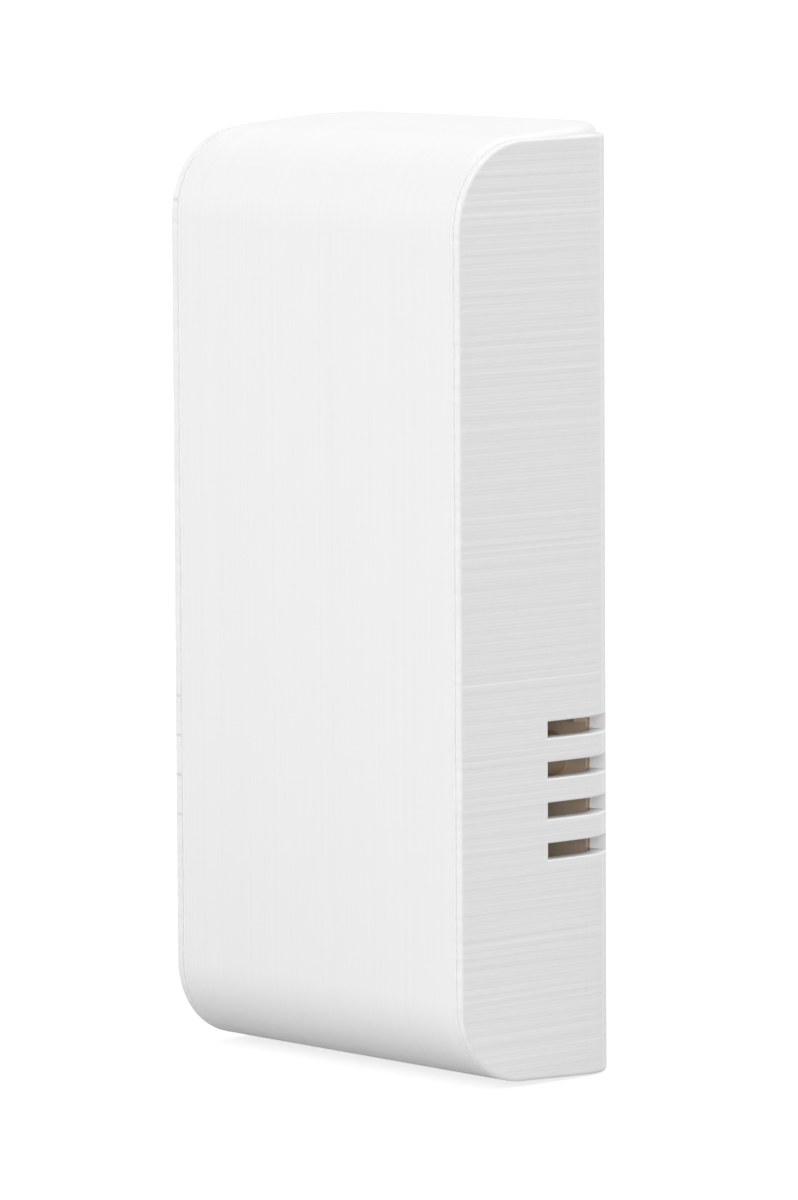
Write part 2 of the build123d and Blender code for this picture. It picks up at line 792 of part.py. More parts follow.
def make_radio_shield():
    width = radio_width - 2 * shield_margin
    z = radio_bottom + shield_margin + shield_length / 2
    back = board_front + radio_thickness
    can = box_at((width, shield_height, shield_length), radio_x, back, z)
    can = fillet(can.edges().group_by(Axis.Y)[0] + can.edges().filter_by(Axis.Y), shield_edge_round)
    hollow = (
        width - 2 * shield_thickness,
        shield_height - shield_thickness + cut_margin,
        shield_length - 2 * shield_thickness,
    )
    return can - box_at(hollow, radio_x, back - cut_margin, z)


def make_radio_antenna():
    """Meander track on the free end of the module."""
    depth = board_front + radio_thickness
    low = radio_bottom + shield_margin + shield_length + antenna_end_gap
    high = radio_top - antenna_end_gap
    pitch = antenna_track + antenna_space
    start = radio_x - (antenna_turns - 1) * pitch / 2
    track = None
    link = (pitch + antenna_track, antenna_thickness, antenna_track)
    for i in range(antenna_turns):
        x = start + i * pitch
        bar = box_at((antenna_track, antenna_thickness, high - low), x, depth, (high + low) / 2)
        track = bar if track is None else track + bar
        z = high - antenna_track / 2 if i % 2 == 0 else low + antenna_track / 2
        if i < antenna_turns - 1:
            track += box_at(link, x + pitch / 2, depth, z)
    return track


def make_voltage_regulator():
    z = power_z - part_gap - regulator_length / 2
    size = (regulator_width, regulator_height, regulator_length)
    body = box_at(size, power_x, board_front + regulator_stand, z)
    body = chamfer(body.edges().group_by(Axis.Y)[0], edge_chamfer / 2)
    leg = (regulator_leg_width, regulator_leg_thickness, 2 * regulator_leg_length)
    reach = regulator_length / 2
    for offset in (-1, 0, 1):
        body += box_at(leg, power_x + offset * regulator_leg_pitch, board_front, z - reach)
    for offset in (-1, 1):
        body += box_at(leg, power_x + offset * regulator_leg_pitch, board_front, z + reach)
    return body


def make_power_inductor():
    z = power_z - regulator_length - inductor_side / 2 - 3 * part_gap
    body = box_at((inductor_side, inductor_height, inductor_side), power_x, board_front, z)
    body = chamfer(body.edges().filter_by(Axis.Y), inductor_corner)
    dish_floor = board_front + inductor_height - inductor_dish_depth
    return body - rod_along_depth(inductor_dish_radius, power_x, dish_floor, case_depth, z)


def make_tantalum_capacitor():
    size = (tantalum_width, tantalum_height, tantalum_length)
    body = box_at(size, tantalum_x, board_front, power_z - tantalum_length / 2)
    return chamfer(body.edges().group_by(Axis.Y)[0], edge_chamfer)


def make_chip_row(x):
    """A column of small chip parts, one under the other."""
    size = (chip_length, chip_height, chip_width)
    return [box_at(size, x, board_front, power_z - part_gap - i * chip_pitch) for i in range(chip_count)]


def make_status_led():
    middle = board_front + led_height / 2
    body = box_at((led_length, led_height / 2, led_width), side_x, board_front, led_z)
    lens = box_at((led_lens_length, led_height / 2, led_width), side_x, middle, led_z)
    return body + fillet(lens.edges().group_by(Axis.Y)[0], led_edge_round)


def make_button_housing():
    height = button_body_height - button_frame_thickness
    body = box_at((button_side, height, button_side), side_x, board_front, button_z)
    body = chamfer(body.edges().filter_by(Axis.Y), edge_chamfer)
    return body - rod_along_depth(button_radius + button_gap, side_x, button_floor, case_depth, button_z)


def make_button_frame():
    back = button_front - button_frame_thickness
    plate = box_at((button_side, button_frame_thickness, button_side), side_x, back, button_z)
    plate = chamfer(plate.edges().filter_by(Axis.Y), edge_chamfer)
    return plate - rod_along_depth(button_radius + button_gap, side_x, button_floor, case_depth, button_z)


def make_button_dome():
    radius = button_radius - button_dome_gap
    curve = (radius * radius + button_dome_height * button_dome_height) / (2 * button_dome_height)
    centre = Pos(side_x, -(button_floor + button_dome_height - curve), button_z)
    keep = rod_along_depth(radius, side_x, button_floor, button_floor + 2 * button_dome_height, button_z)
    return (centre * Sphere(curve) & keep) - centre * Sphere(curve - button_dome_thickness)


def make_button_plunger():
    back = button_floor + button_dome_height + button_travel + button_dome_gap
    plunger = rod_along_depth(button_radius, side_x, back, button_front + button_proud, button_z)
    return fillet(plunger.edges().sort_by(Axis.Y)[0], button_edge_round)


def make_switch_base():
    return box_at((switch_width, switch_base_height, switch_length), -side_x, board_front, switch_z)


def make_switch_frame():
    back = board_front + switch_base_height
    frame = box_at((switch_width, switch_frame_height, switch_length), -side_x, back, switch_z)
    frame = fillet(frame.edges().group_by(Axis.Y)[0], switch_frame_wall)
    hollow = (
        switch_width - 2 * switch_frame_wall,
        switch_frame_height - switch_frame_wall + cut_margin,
        switch_length - 2 * switch_frame_wall,
    )
    window = (
        switch_knob_width + 2 * switch_gap,
        case_depth,
        switch_knob_length + switch_travel + 2 * switch_gap,
    )
    frame -= box_at(hollow, -side_x, back - cut_margin, switch_z)
    return frame - box_at(window, -side_x, back, switch_z)


def make_switch_knob():
    back = board_front + switch_base_height + switch_gap
    z = switch_z - switch_travel / 2
    foot_height = switch_frame_height - switch_frame_wall - 2 * switch_gap
    foot_width = switch_width - 2 * switch_frame_wall - 2 * switch_gap
    foot = box_at((foot_width, foot_height, switch_foot_length), -side_x, back, z)
    grip_height = foot_height + switch_knob_height
    grip = box_at((switch_knob_width, grip_height, switch_knob_length), -side_x, back, z)
    return foot + fillet(grip.edges().group_by(Axis.Y)[0], button_edge_round / 2)


def make_sensor_board():
    x = sensor_x - sensor_board_thickness / 2
    size = (sensor_board_thickness, sensor_board_depth, sensor_board_height)
    board = box_at(size, x, sensor_back, sensor_z)
    hole_y = -(sensor_back + sensor_board_depth - sensor_hole_front_inset)
    hole_z = sensor_z + sensor_board_height / 2 - sensor_hole_top_inset
    hole = Rot(0, 90, 0) * Cylinder(sensor_hole_radius, 3 * sensor_board_thickness)
    board -= Pos(x, hole_y, hole_z) * hole
    side = header_pin_side + 2 * pin_gap
    for z in pin_places():
        board -= box_at((3 * sensor_board_thickness, side, side), x, header_bend - pin_gap, z)
    return board


def make_sensor_chip():
    size = (sensor_chip_height, sensor_chip_side, sensor_chip_side)
    back = sensor_back + sensor_chip_offset
    z = sensor_z + sensor_chip_rise
    body = box_at(size, sensor_x + sensor_chip_height / 2, back, z)
    port = Rot(0, 90, 0) * Cylinder(sensor_port_radius, 2 * sensor_port_depth)
    return body - Pos(sensor_x + sensor_chip_height, -(back + sensor_chip_side / 2), z) * port


def pin_places():
    span = (header_pin_count - 1) * header_pin_pitch
    return [sensor_z - span / 2 + i * header_pin_pitch for i in range(header_pin_count)]


def make_sensor_header():
    strip = box_at((header_strip, header_strip, header_length), header_x, board_front, sensor_z)
    side = header_pin_side + 2 * pin_gap
    for z in pin_places():
        strip -= box_at((side, header_strip + 2 * cut_margin, side), header_x, board_front - cut_margin, z)
    return strip


def make_sensor_pins():
    """Bent pins from the main board into the sensor board."""
    pins = []
    side = header_pin_side
    arm_start = header_x - side / 2
    reach = sensor_x + header_pin_reach - arm_start
    for z in pin_places():
        leg = box_at((side, header_bend + side - board_front, side), header_x, board_front, z)
        pins.append(leg + box_at((reach, side, side), arm_start + reach / 2, header_bend, z))
    return pins


lead_black = make_lead(black_lead_points())
lead_red = make_lead(red_lead_points())

parts = {
    "cover": make_cover(),
    "back_plate": make_back_plate(),
    "keeper_screw": make_keeper_screw(),
    "battery_tray": make_battery_tray(),
    "tray_screws": [flat_headed_screw(z) for z in tray_screw_places()],
    "cell_left_can": make_cell_can(-cell_x, True),
    "cell_left_sleeve": make_cell_sleeve(-cell_x, True),
    "cell_right_can": make_cell_can(cell_x, False),
    "cell_right_sleeve": make_cell_sleeve(cell_x, False),
    "negative_contact": make_negative_contact(),
    "negative_spring": tapered_coil(-cell_x, bay_bottom + contact_thickness, 1),
    "positive_contact": make_positive_contact(),
    "bridge_contact": make_bridge_contact(),
    "bridge_spring": tapered_coil(cell_x, bay_top - contact_thickness, -1),
    "lead_black": lead_black,
    "lead_red": lead_red,
    "solder_joints": make_solder_joints(lead_black + lead_red),
    "main_board": make_main_board(),
    "board_screws": [pan_headed_screw(x, z) for x, z in board_screw_places()],
    "radio_board": make_radio_board(),
    "radio_shield": make_radio_shield(),
    "radio_antenna": make_radio_antenna(),
    "voltage_regulator": make_voltage_regulator(),
    "power_inductor": make_power_inductor(),
    "tantalum_capacitor": make_tantalum_capacitor(),
    "chip_capacitors": make_chip_row(capacitor_x),
    "chip_resistors": make_chip_row(resistor_x),
    "status_led": make_status_led(),
    "button_housing": make_button_housing(),
    "button_frame": make_button_frame(),
    "button_dome": make_button_dome(),
    "button_plunger": make_button_plunger(),
    "switch_base": make_switch_base(),
    "switch_frame": make_switch_frame(),
    "switch_knob": make_switch_knob(),
    "sensor_board": make_sensor_board(),
    "sensor_chip": make_sensor_chip(),
    "sensor_header": make_sensor_header(),
    "sensor_pins": make_sensor_pins(),
}

os.makedirs("parts", exist_ok=True)
for name, shape in parts.items():
    if isinstance(shape, list):
        shape = Compound(children=[s.solid() for s in shape])
    export_step(shape, "parts/" + name + ".step")
print("spring gap:", round(coil_gap(), 3))
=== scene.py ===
import bmesh
import bpy
import json
from math import cos, pi, radians, sin
from mathutils import Matrix, Vector


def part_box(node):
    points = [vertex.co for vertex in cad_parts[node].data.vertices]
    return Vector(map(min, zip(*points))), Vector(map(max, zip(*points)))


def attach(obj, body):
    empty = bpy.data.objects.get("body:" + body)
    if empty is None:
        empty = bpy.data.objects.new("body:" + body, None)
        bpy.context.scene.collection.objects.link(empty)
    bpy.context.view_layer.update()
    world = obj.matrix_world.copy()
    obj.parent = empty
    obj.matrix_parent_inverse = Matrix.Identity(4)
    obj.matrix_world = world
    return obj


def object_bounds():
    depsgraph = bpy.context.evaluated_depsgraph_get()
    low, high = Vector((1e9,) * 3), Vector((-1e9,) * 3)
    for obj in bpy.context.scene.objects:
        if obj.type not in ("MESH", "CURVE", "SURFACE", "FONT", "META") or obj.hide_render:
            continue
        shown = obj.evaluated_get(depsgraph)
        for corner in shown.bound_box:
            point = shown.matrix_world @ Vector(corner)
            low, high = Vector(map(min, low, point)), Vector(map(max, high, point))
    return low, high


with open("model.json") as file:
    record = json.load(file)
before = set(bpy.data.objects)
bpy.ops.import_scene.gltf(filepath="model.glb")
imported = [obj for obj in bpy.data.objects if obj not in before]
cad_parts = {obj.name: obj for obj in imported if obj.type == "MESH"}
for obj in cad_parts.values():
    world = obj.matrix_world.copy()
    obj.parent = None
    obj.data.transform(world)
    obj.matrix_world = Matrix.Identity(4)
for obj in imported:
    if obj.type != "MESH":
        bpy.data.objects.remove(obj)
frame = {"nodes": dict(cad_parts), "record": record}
nodes = frame["nodes"]
cad_low, cad_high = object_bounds()

MM = 0.001


# ---------------------------------------------------------------- node helpers

class Sheet:
    """Short way of laying out the nodes of one tree."""

    def __init__(self, tree):
        self.tree = tree

    def feed(self, socket, value):
        if isinstance(value, bpy.types.NodeSocket):
            self.tree.links.new(value, socket)
        else:
            socket.default_value = value

    def node(self, kind, feeds=None, **settings):
        node = self.tree.nodes.new("ShaderNode" + kind)
        for name, value in settings.items():
            setattr(node, name, value)
        for name, value in (feeds or {}).items():
            self.feed(node.inputs[name], value)
        return node

    def math(self, operation, *values):
        node = self.node("Math", operation=operation)
        for socket, value in zip(node.inputs, values):
            self.feed(socket, value)
        return node.outputs[0]

    def plus(self, total, value, gain):
        """A total with value times gain added."""
        return self.math("MULTIPLY_ADD", value, gain, total)

    def off(self, value, level):
        """How far a value is from a level."""
        return self.math("ABSOLUTE", self.math("SUBTRACT", value, level))

    def scaled(self, vector, factor):
        """Vector or colour times one number."""
        feeds = {"Vector": vector, "Scale": factor}
        return self.node("VectorMath", feeds, operation="SCALE").outputs["Vector"]

    def combine(self, x, y, z):
        return self.node("CombineXYZ", {"X": x, "Y": y, "Z": z}).outputs[0]

    def split(self, vector):
        return self.node("SeparateXYZ", {"Vector": vector}).outputs

    def ramp(self, value, low, high, low_out=0.0, high_out=1.0, kind="SMOOTHSTEP"):
        feeds = {"Value": value, "From Min": low, "From Max": high}
        feeds |= {"To Min": low_out, "To Max": high_out}
        return self.node("MapRange", feeds, interpolation_type=kind).outputs["Result"]

    def mix(self, share, first, second):
        """Two colours mixed. A plain colour is a tuple of three."""
        node = self.node("Mix", {"Factor": share}, data_type="RGBA")
        for socket, colour in zip(node.inputs[6:8], (first, second)):
            self.feed(socket, colour + (1,) if isinstance(colour, tuple) else colour)
        return node.outputs[2]

    def noise(self, vector, scale, detail=2.0, roughness=0.5):
        feeds = {"Vector": vector, "Scale": scale, "Detail": detail, "Roughness": roughness}
        return self.node("TexNoise", feeds).outputs["Fac"]

    def group(self, tree, feeds):
        node = self.tree.nodes.new("ShaderNodeGroup")
        node.node_tree = tree
        for name, value in feeds.items():
            self.feed(node.inputs[name], value)
        return node.outputs


SOCKETS = {"value": "NodeSocketFloat", "vector": "NodeSocketVector"}


def effect(name, inputs, outputs, build):
    """Node group with named inputs and outputs. build() is given its sheet and its inputs."""
    tree = bpy.data.node_groups.new(name, "ShaderNodeTree")
    for label, (kind, default) in inputs.items():
        socket = tree.interface.new_socket(label, in_out="INPUT", socket_type=SOCKETS[kind])
        socket.default_value = default
    for label in outputs:
        tree.interface.new_socket(label, in_out="OUTPUT", socket_type=SOCKETS["value"])
    sheet = Sheet(tree)
    results = build(sheet, tree.nodes.new("NodeGroupInput").outputs)
    out = tree.nodes.new("NodeGroupOutput")
    for label, value in zip(outputs, results, strict=True):
        sheet.feed(out.inputs[label], value)
    return tree


# ---------------------------------------------------------------- shared effects

def build_beads(sheet, given):
    """Rounded beads side by side along one direction, some a little higher than others."""
    place = sheet.math("DIVIDE", given["Place"], given["Pitch"])
    number = sheet.math("FLOOR", place)
    across = sheet.math("SUBTRACT", sheet.math("FRACT", place), 0.5)
    crown = sheet.plus(1.0, sheet.math("MULTIPLY", across, across), -4.0)
    step = sheet.node("TexWhiteNoise", {"W": number}, noise_dimensions="1D").outputs["Value"]
    return [sheet.plus(crown, step, given["Unevenness"])]


beads = effect(
    "bead_rows",
    {"Place": ("value", 0.0), "Pitch": ("value", 0.2), "Unevenness": ("value", 0.5)},
    ["Height"],
    build_beads,
)


def build_streaks(sheet, given):
    """Long uneven streaks that run along one direction and change across it."""
    rows = sheet.math("MULTIPLY", given["Across"], given["Rate"])
    drift = sheet.math("MULTIPLY", given["Along"], given["Waver"])
    spot = sheet.combine(rows, drift, given["Seed"])
    return [sheet.math("SUBTRACT", sheet.noise(spot, 1.0, given["Detail"], 0.62), 0.5)]


streaks = effect(
    "long_streaks",
    {
        "Across": ("value", 0.0),
        "Along": ("value", 0.0),
        "Rate": ("value", 1.0),
        "Waver": ("value", 0.03),
        "Detail": ("value", 2.0),
        "Seed": ("value", 0.0),
    },
    ["Tone"],
    build_streaks,
)


def build_specks(sheet, given):
    """Sparse small specks, one in some of the cells of a loose grid."""
    cells = sheet.node("TexVoronoi", {"Vector": given["Place"], "Scale": given["Rate"]}).outputs
    luck = sheet.split(cells["Color"])
    chosen = sheet.math("LESS_THAN", luck[0], given["Share"])
    size = sheet.math("MULTIPLY", given["Size"], sheet.math("ADD", luck[1], 0.4))
    return [sheet.math("MULTIPLY", chosen, sheet.ramp(cells["Distance"], size, 0.0))]


specks = effect(
    "small_specks",
    {
        "Place": ("vector", (0, 0, 0)),
        "Rate": ("value", 0.5),
        "Share": ("value", 0.3),
        "Size": ("value", 0.1),
    },
    ["Mask"],
    build_specks,
)


def build_grain(sheet, given):
    """Fine spark-eroded grain of a mould, with slow patches that are duller or shinier."""
    fine = sheet.noise(given["Place"], given["Rate"], 2.0, 0.6)
    slow = sheet.noise(given["Place"], given["Patch Rate"])
    return [fine, sheet.math("SUBTRACT", slow, 0.5)]


grain = effect(
    "moulded_grain",
    {"Place": ("vector", (0, 0, 0)), "Rate": ("value", 6.0), "Patch Rate": ("value", 0.15)},
    ["Height", "Patch"],
    build_grain,
)


def build_scratches(sheet, given):
    """Thin straight handling scratches in two crossing directions."""
    x, y, z = sheet.split(given["Place"])
    depth = sheet.math("ADD", y, z)
    lines = []
    for lean in (0.6, -0.35):
        across = sheet.math("MULTIPLY", sheet.plus(x, depth, lean), given["Rate"])
        along = sheet.math("MULTIPLY", sheet.plus(depth, x, -lean), 0.45)
        spot = sheet.combine(across, along, lean)
        lines.append(sheet.ramp(sheet.noise(spot, 1.0, 1.0), given["Edge"], 0.8))
    return [sheet.math("MAXIMUM", *lines)]


scratches = effect(
    "crossing_scratches",
    {"Place": ("vector", (0, 0, 0)), "Rate": ("value", 4.0), "Edge": ("value", 0.7)},
    ["Mask"],
    build_scratches,
)


def build_weave(sheet, given):
    """Glass cloth of a circuit board, faintly seen through the mask on it."""
    rate = sheet.math("DIVIDE", 2 * pi, given["Pitch"])
    waves = []
    for way in (given["Across"], given["Along"]):
        waves.append(sheet.math("SINE", sheet.math("MULTIPLY", way, rate)))
    return [sheet.math("MULTIPLY", *waves)]


weave = effect(
    "glass_cloth",
    {"Across": ("value", 0.0), "Along": ("value", 0.0), "Pitch": ("value", 0.6)},
    ["Height"],
    build_weave,
)


# ---------------------------------------------------------------- materials

def new_material(name, **plain):
    """Material with its place in millimetres. Plain values go straight to the shader's sockets."""
    material = bpy.data.materials.new(name)
    material.use_nodes = True
    sheet = Sheet(material.node_tree)
    shader = material.node_tree.nodes["Principled BSDF"]
    for label, value in plain.items():
        shader.inputs[label.replace("_", " ")].default_value = value
    place = sheet.scaled(sheet.node("TexCoord").outputs["Object"], 1 / MM)
    return material, sheet, shader, place


def dress(sheet, shader, colour, roughness, height, depth):
    """What every finish has. height is its relief, and depth how deep that is in millimetres."""
    relief = sheet.node("Bump", {"Height": height, "Distance": depth * MM}).outputs["Normal"]
    for label, value in (("Base Color", colour), ("Roughness", roughness), ("Normal", relief)):
        sheet.feed(shader.inputs[label], value)


def raster_tones(sheet, place, across, along):
    """Tone of raster lines. Each is judged against the one beside it, so slow bands drop out."""
    raggedness, next_line, contrast = 0.3, 0.6, 0.52
    ragged = sheet.plus(across, sheet.noise(place, 0.9), raggedness)
    feeds = {"Along": along, "Rate": 1.8, "Waver": 0.02, "Detail": 0.8, "Seed": 9.1}
    neighbours = []
    for start in (ragged, sheet.math("ADD", ragged, next_line)):
        neighbours.append(sheet.group(streaks, feeds | {"Across": start})["Tone"])
    return sheet.math("MULTIPLY", sheet.math("SUBTRACT", *neighbours), contrast)


def lip_shade(sheet, shade, parts, wall_share, lip, nicks):
    """Shade with the uneven beads of the side lips, and the nicks in the left one, added."""
    x, y, z = parts
    feeds = {"Across": z, "Along": y, "Rate": 1.1, "Waver": 0.3, "Detail": 1.0, "Seed": 5.1}
    beading = sheet.math("MULTIPLY", sheet.group(streaks, feeds)["Tone"], 0.12)
    outside = sheet.ramp(sheet.math("ABSOLUTE", x), lip - 0.1, lip + 0.1)
    shade = sheet.plus(shade, sheet.math("MULTIPLY", wall_share, outside), beading)
    left = sheet.math("MULTIPLY", wall_share, sheet.ramp(x, -lip, -lip - 0.15))
    for level in nicks:
        shade = sheet.plus(shade, left, sheet.ramp(sheet.off(z, level), 0.3, 0.08, 0.0, -0.16))
    return shade


def printed(
    name, colour, stack_axis, layer_gain, raster_gain, through, deepest,
    ridges=(), seams=(), lip=None, nicks=(),
):
    """Fused printed plastic. Layers are stacked along stack_axis; faces across it show the raster.

    through is the strength of a painted glow: inner faces that face the front, no deeper than
    deepest, give off light of the plastic's own colour. It is painted light, standing in for light
    from behind, and lifts what is seen in the vents. ridges are single raster lines that stand out,
    each with its place and gain. seams are grooves painted a little lighter, painted light that
    lifts the shade in them. lip is how far out the beaded side lips start, and nicks are the
    heights of small dark starts and stops in the left lip.
    """
    material, sheet, shader, place = new_material(
        name, Specular_IOR_Level=0.4, Emission_Strength=through
    )
    x, y, z = parts = tuple(sheet.split(place))
    along_stack = parts[stack_axis]
    raster_across, raster_along = ((z, y), (x, z), (x, y))[stack_axis]
    facing = sheet.split(sheet.node("TexCoord").outputs["Normal"])
    flat_share = sheet.ramp(sheet.math("ABSOLUTE", facing[stack_axis]), 0.86, 0.97)
    wall_share = sheet.math("SUBTRACT", 1.0, flat_share)

    feeds = {"Place": along_stack, "Pitch": 0.2, "Unevenness": 0.6}
    layers = sheet.group(beads, feeds)["Height"]
    feeds = {
        "Across": along_stack, "Along": z, "Rate": 7.6, "Waver": 0.002, "Detail": 0.8, "Seed": 3.7,
    }
    layer_tone = sheet.group(streaks, feeds)["Tone"]
    feeds = {"Place": raster_across, "Pitch": 0.45, "Unevenness": 0.7}
    raster = sheet.group(beads, feeds)["Height"]
    raster_tone = raster_tones(sheet, place, raster_across, raster_along)
    feeds = {"Place": place, "Rate": 0.27, "Share": 0.3, "Size": 0.055}
    dots = sheet.group(specks, feeds)["Mask"]

    raster_part = sheet.math("MULTIPLY", raster_tone, raster_gain)
    for level, gain in ridges:
        ridge = sheet.ramp(sheet.off(raster_across, level), 0.25, 0.05, 0.0, gain)
        raster_part = sheet.math("ADD", raster_part, ridge)
    if lip:
        # The lines of the side faces are bolder near the top and a little near the bottom. The side
        # faces are also made a little darker all over, painted shade.
        upper, lower = sheet.ramp(z, 40, 50, 1.0, 1.6), sheet.ramp(z, -18, -32, 0.0, 0.3)
        raster_part = sheet.plus(-0.025, raster_part, sheet.math("ADD", upper, lower))
    shade = sheet.math("MULTIPLY", wall_share, sheet.math("MULTIPLY", layer_tone, layer_gain))
    shade = sheet.plus(shade, flat_share, raster_part)
    shade = sheet.plus(shade, dots, -0.07)
    # Painted light: the seam grooves are made a little lighter, to lift the shade that falls in
    # them.
    for middle in seams:
        shade = sheet.math("ADD", shade, sheet.ramp(sheet.off(x, middle), 0.22, 0.16, 0.0, 0.045))
    if lip:
        shade = lip_shade(sheet, shade, parts, wall_share, lip, nicks)

    height = sheet.math("MULTIPLY", wall_share, sheet.plus(layers, layer_tone, 1.5))
    height = sheet.plus(height, flat_share, sheet.plus(raster, raster_tone, 2.5))
    shaded = sheet.scaled(colour, sheet.math("ADD", shade, 1.0))
    dress(sheet, shader, shaded, sheet.plus(0.55, raster_tone, 0.3), height, 0.008)
    # Painted glow: inner faces near the back that face the front give off light of the plastic's
    # own colour, painted light that lifts what is seen in the vents.
    front_side = sheet.ramp(facing[1], -0.6, -0.9)
    shallow = sheet.ramp(y, deepest - 0.3, deepest)
    glow = sheet.scaled(colour, sheet.math("MULTIPLY", front_side, shallow))
    sheet.feed(shader.inputs["Emission Color"], glow)
    return material


def moulded(name, colour, roughness, grain_rate=6.0, depth=0.012):
    """Moulded plastic: fine grain, a slow change of gloss and a few pale scuffs."""
    material, sheet, shader, place = new_material(name)
    skin = sheet.group(grain, {"Place": place, "Rate": grain_rate, "Patch Rate": 0.2})
    scuffs = sheet.group(scratches, {"Place": place, "Rate": 3.0, "Edge": 0.75})["Mask"]
    scuffed = sheet.mix(sheet.math("MULTIPLY", scuffs, 0.12), colour, (0.4, 0.4, 0.4))
    shaded = sheet.scaled(scuffed, sheet.plus(1.0, skin["Patch"], 0.125))
    rough = sheet.plus(roughness, skin["Patch"], 0.25)
    dress(sheet, shader, shaded, rough, skin["Height"], depth)
    return material


def metal(name, colour, roughness, axis, streak_rate, scratched=0.6):
    """Rolled, drawn or plated metal: lines along one axis, duller patches, handling scratches."""
    material, sheet, shader, place = new_material(name, Metallic=1.0)
    across = list(sheet.split(place))
    along = across.pop(axis)
    feeds = {
        "Across": sheet.math("ADD", *across), "Along": along,
        "Rate": streak_rate, "Waver": 0.15, "Detail": 3.0, "Seed": 2.3,
    }
    lines = sheet.group(streaks, feeds)["Tone"]
    patch = sheet.group(grain, {"Place": place, "Rate": 5.0, "Patch Rate": 0.45})["Patch"]
    marks = sheet.group(scratches, {"Place": place, "Rate": 6.0, "Edge": 0.7})["Mask"]
    shaded = sheet.scaled(colour, sheet.plus(sheet.plus(1.0, patch, -0.15), lines, 0.25))
    rough = sheet.plus(sheet.plus(roughness, patch, 0.5), lines, 0.3)
    rough = sheet.math("MAXIMUM", sheet.plus(rough, marks, 0.12 * scratched), 0.12)
    dress(sheet, shader, shaded, rough, sheet.plus(lines, marks, -scratched), 0.004)
    return material


def solder_mask(name, colour, thickness_axis):
    """Glossy mask over glass cloth. Cut edges show the pale laminate."""
    material, sheet, shader, place = new_material(name, Coat_Weight=0.35, Coat_Roughness=0.2)
    face = list(sheet.split(place))
    face.pop(thickness_axis)
    cloth = sheet.group(weave, {"Across": face[0], "Along": face[1], "Pitch": 0.62})["Height"]
    skin = sheet.group(grain, {"Place": place, "Rate": 3.0, "Patch Rate": 0.3})
    facing = sheet.split(sheet.node("TexCoord").outputs["Normal"])[thickness_axis]
    masked = sheet.ramp(sheet.math("ABSOLUTE", facing), 0.5, 0.8)
    top = sheet.scaled(colour, sheet.plus(sheet.plus(1.0, cloth, 0.05), skin["Patch"], 0.35))
    edge = sheet.scaled((0.52, 0.46, 0.26), sheet.plus(1.0, skin["Patch"], 0.6))
    rough = sheet.plus(sheet.ramp(masked, 0.0, 1.0, 0.7, 0.3), skin["Patch"], 0.2)
    height = sheet.math("ADD", cloth, skin["Height"])
    dress(sheet, shader, sheet.mix(masked, edge, top), rough, height, 0.003)
    return material


def shrink_film(name, band_low, band_high):
    """Glossy dark film round a cell, with one plain pale band, slow waves and scuffs."""
    material, sheet, shader, place = new_material(name, Coat_Weight=0.4, Coat_Roughness=0.12)
    z = sheet.split(place)["Z"]
    above = sheet.ramp(z, band_low - 0.05, band_low + 0.05)
    below = sheet.ramp(z, band_high + 0.05, band_high - 0.05)
    band = sheet.math("MULTIPLY", above, below)
    skin = sheet.group(grain, {"Place": place, "Rate": 1.2, "Patch Rate": 0.25})
    scuffs = sheet.group(scratches, {"Place": place, "Rate": 6.0, "Edge": 0.74})["Mask"]
    colour = sheet.mix(band, (0.05, 0.07, 0.1), (0.6, 0.61, 0.62))
    colour = sheet.mix(sheet.math("MULTIPLY", scuffs, 0.07), colour, (0.5, 0.5, 0.5))
    shaded = sheet.scaled(colour, sheet.plus(1.0, skin["Patch"], 0.2))
    rough = sheet.plus(sheet.plus(0.25, skin["Patch"], 0.15), scuffs, 0.25)
    dress(sheet, shader, shaded, rough, skin["Height"], 0.05)
    sheet.feed(shader.inputs["Metallic"], sheet.math("MULTIPLY", band, 0.6))
    return material


def insulation(name, colour):
    """Extruded lead insulation: satin, finely grained, with a little dust."""
    material, sheet, shader, place = new_material(name)
    skin = sheet.group(grain, {"Place": place, "Rate": 7.0, "Patch Rate": 0.8})
    dust = sheet.group(specks, {"Place": place, "Rate": 2.5, "Share": 0.25, "Size": 0.12})["Mask"]
    dusty = sheet.mix(sheet.math("MULTIPLY", dust, 0.4), colour, (0.5, 0.48, 0.45))
    shaded = sheet.scaled(dusty, sheet.plus(1.0, skin["Patch"], 0.4))
    dress(sheet, shader, shaded, sheet.plus(0.42, skin["Patch"], 0.3), skin["Height"], 0.006)
    return material


def solder_metal(name):
    """Reflowed solder: bright, softly rippled, dull in patches."""
    material, sheet, shader, place = new_material(name, Metallic=1.0)
    skin = sheet.group(grain, {"Place": place, "Rate": 2.2, "Patch Rate": 1.3})
    shaded = sheet.scaled((0.72, 0.73, 0.74), sheet.plus(1.0, skin["Patch"], 0.4))
    dress(sheet, shader, shaded, sheet.plus(0.3, skin["Patch"], 0.6), skin["Height"], 0.03)
    return material


def pressed_powder(name, colour):
    """Ferrite: dark, slightly rough pressed powder with fine pits."""
    material, sheet, shader, place = new_material(name, Specular_IOR_Level=0.6)
    skin = sheet.group(grain, {"Place": place, "Rate": 9.0, "Patch Rate": 0.6})
    pits = sheet.group(specks, {"Place": place, "Rate": 4.0, "Share": 0.5, "Size": 0.25})["Mask"]
    # The pits are painted darker as well as sunk in the relief, painted shade in them.
    shaded = sheet.scaled(colour, sheet.plus(sheet.plus(1.0, skin["Patch"], 0.5), pits, -0.5))
    height = sheet.math("SUBTRACT", skin["Height"], pits)
    dress(sheet, shader, shaded, sheet.plus(0.55, skin["Height"], 0.25), height, 0.02)
    return material


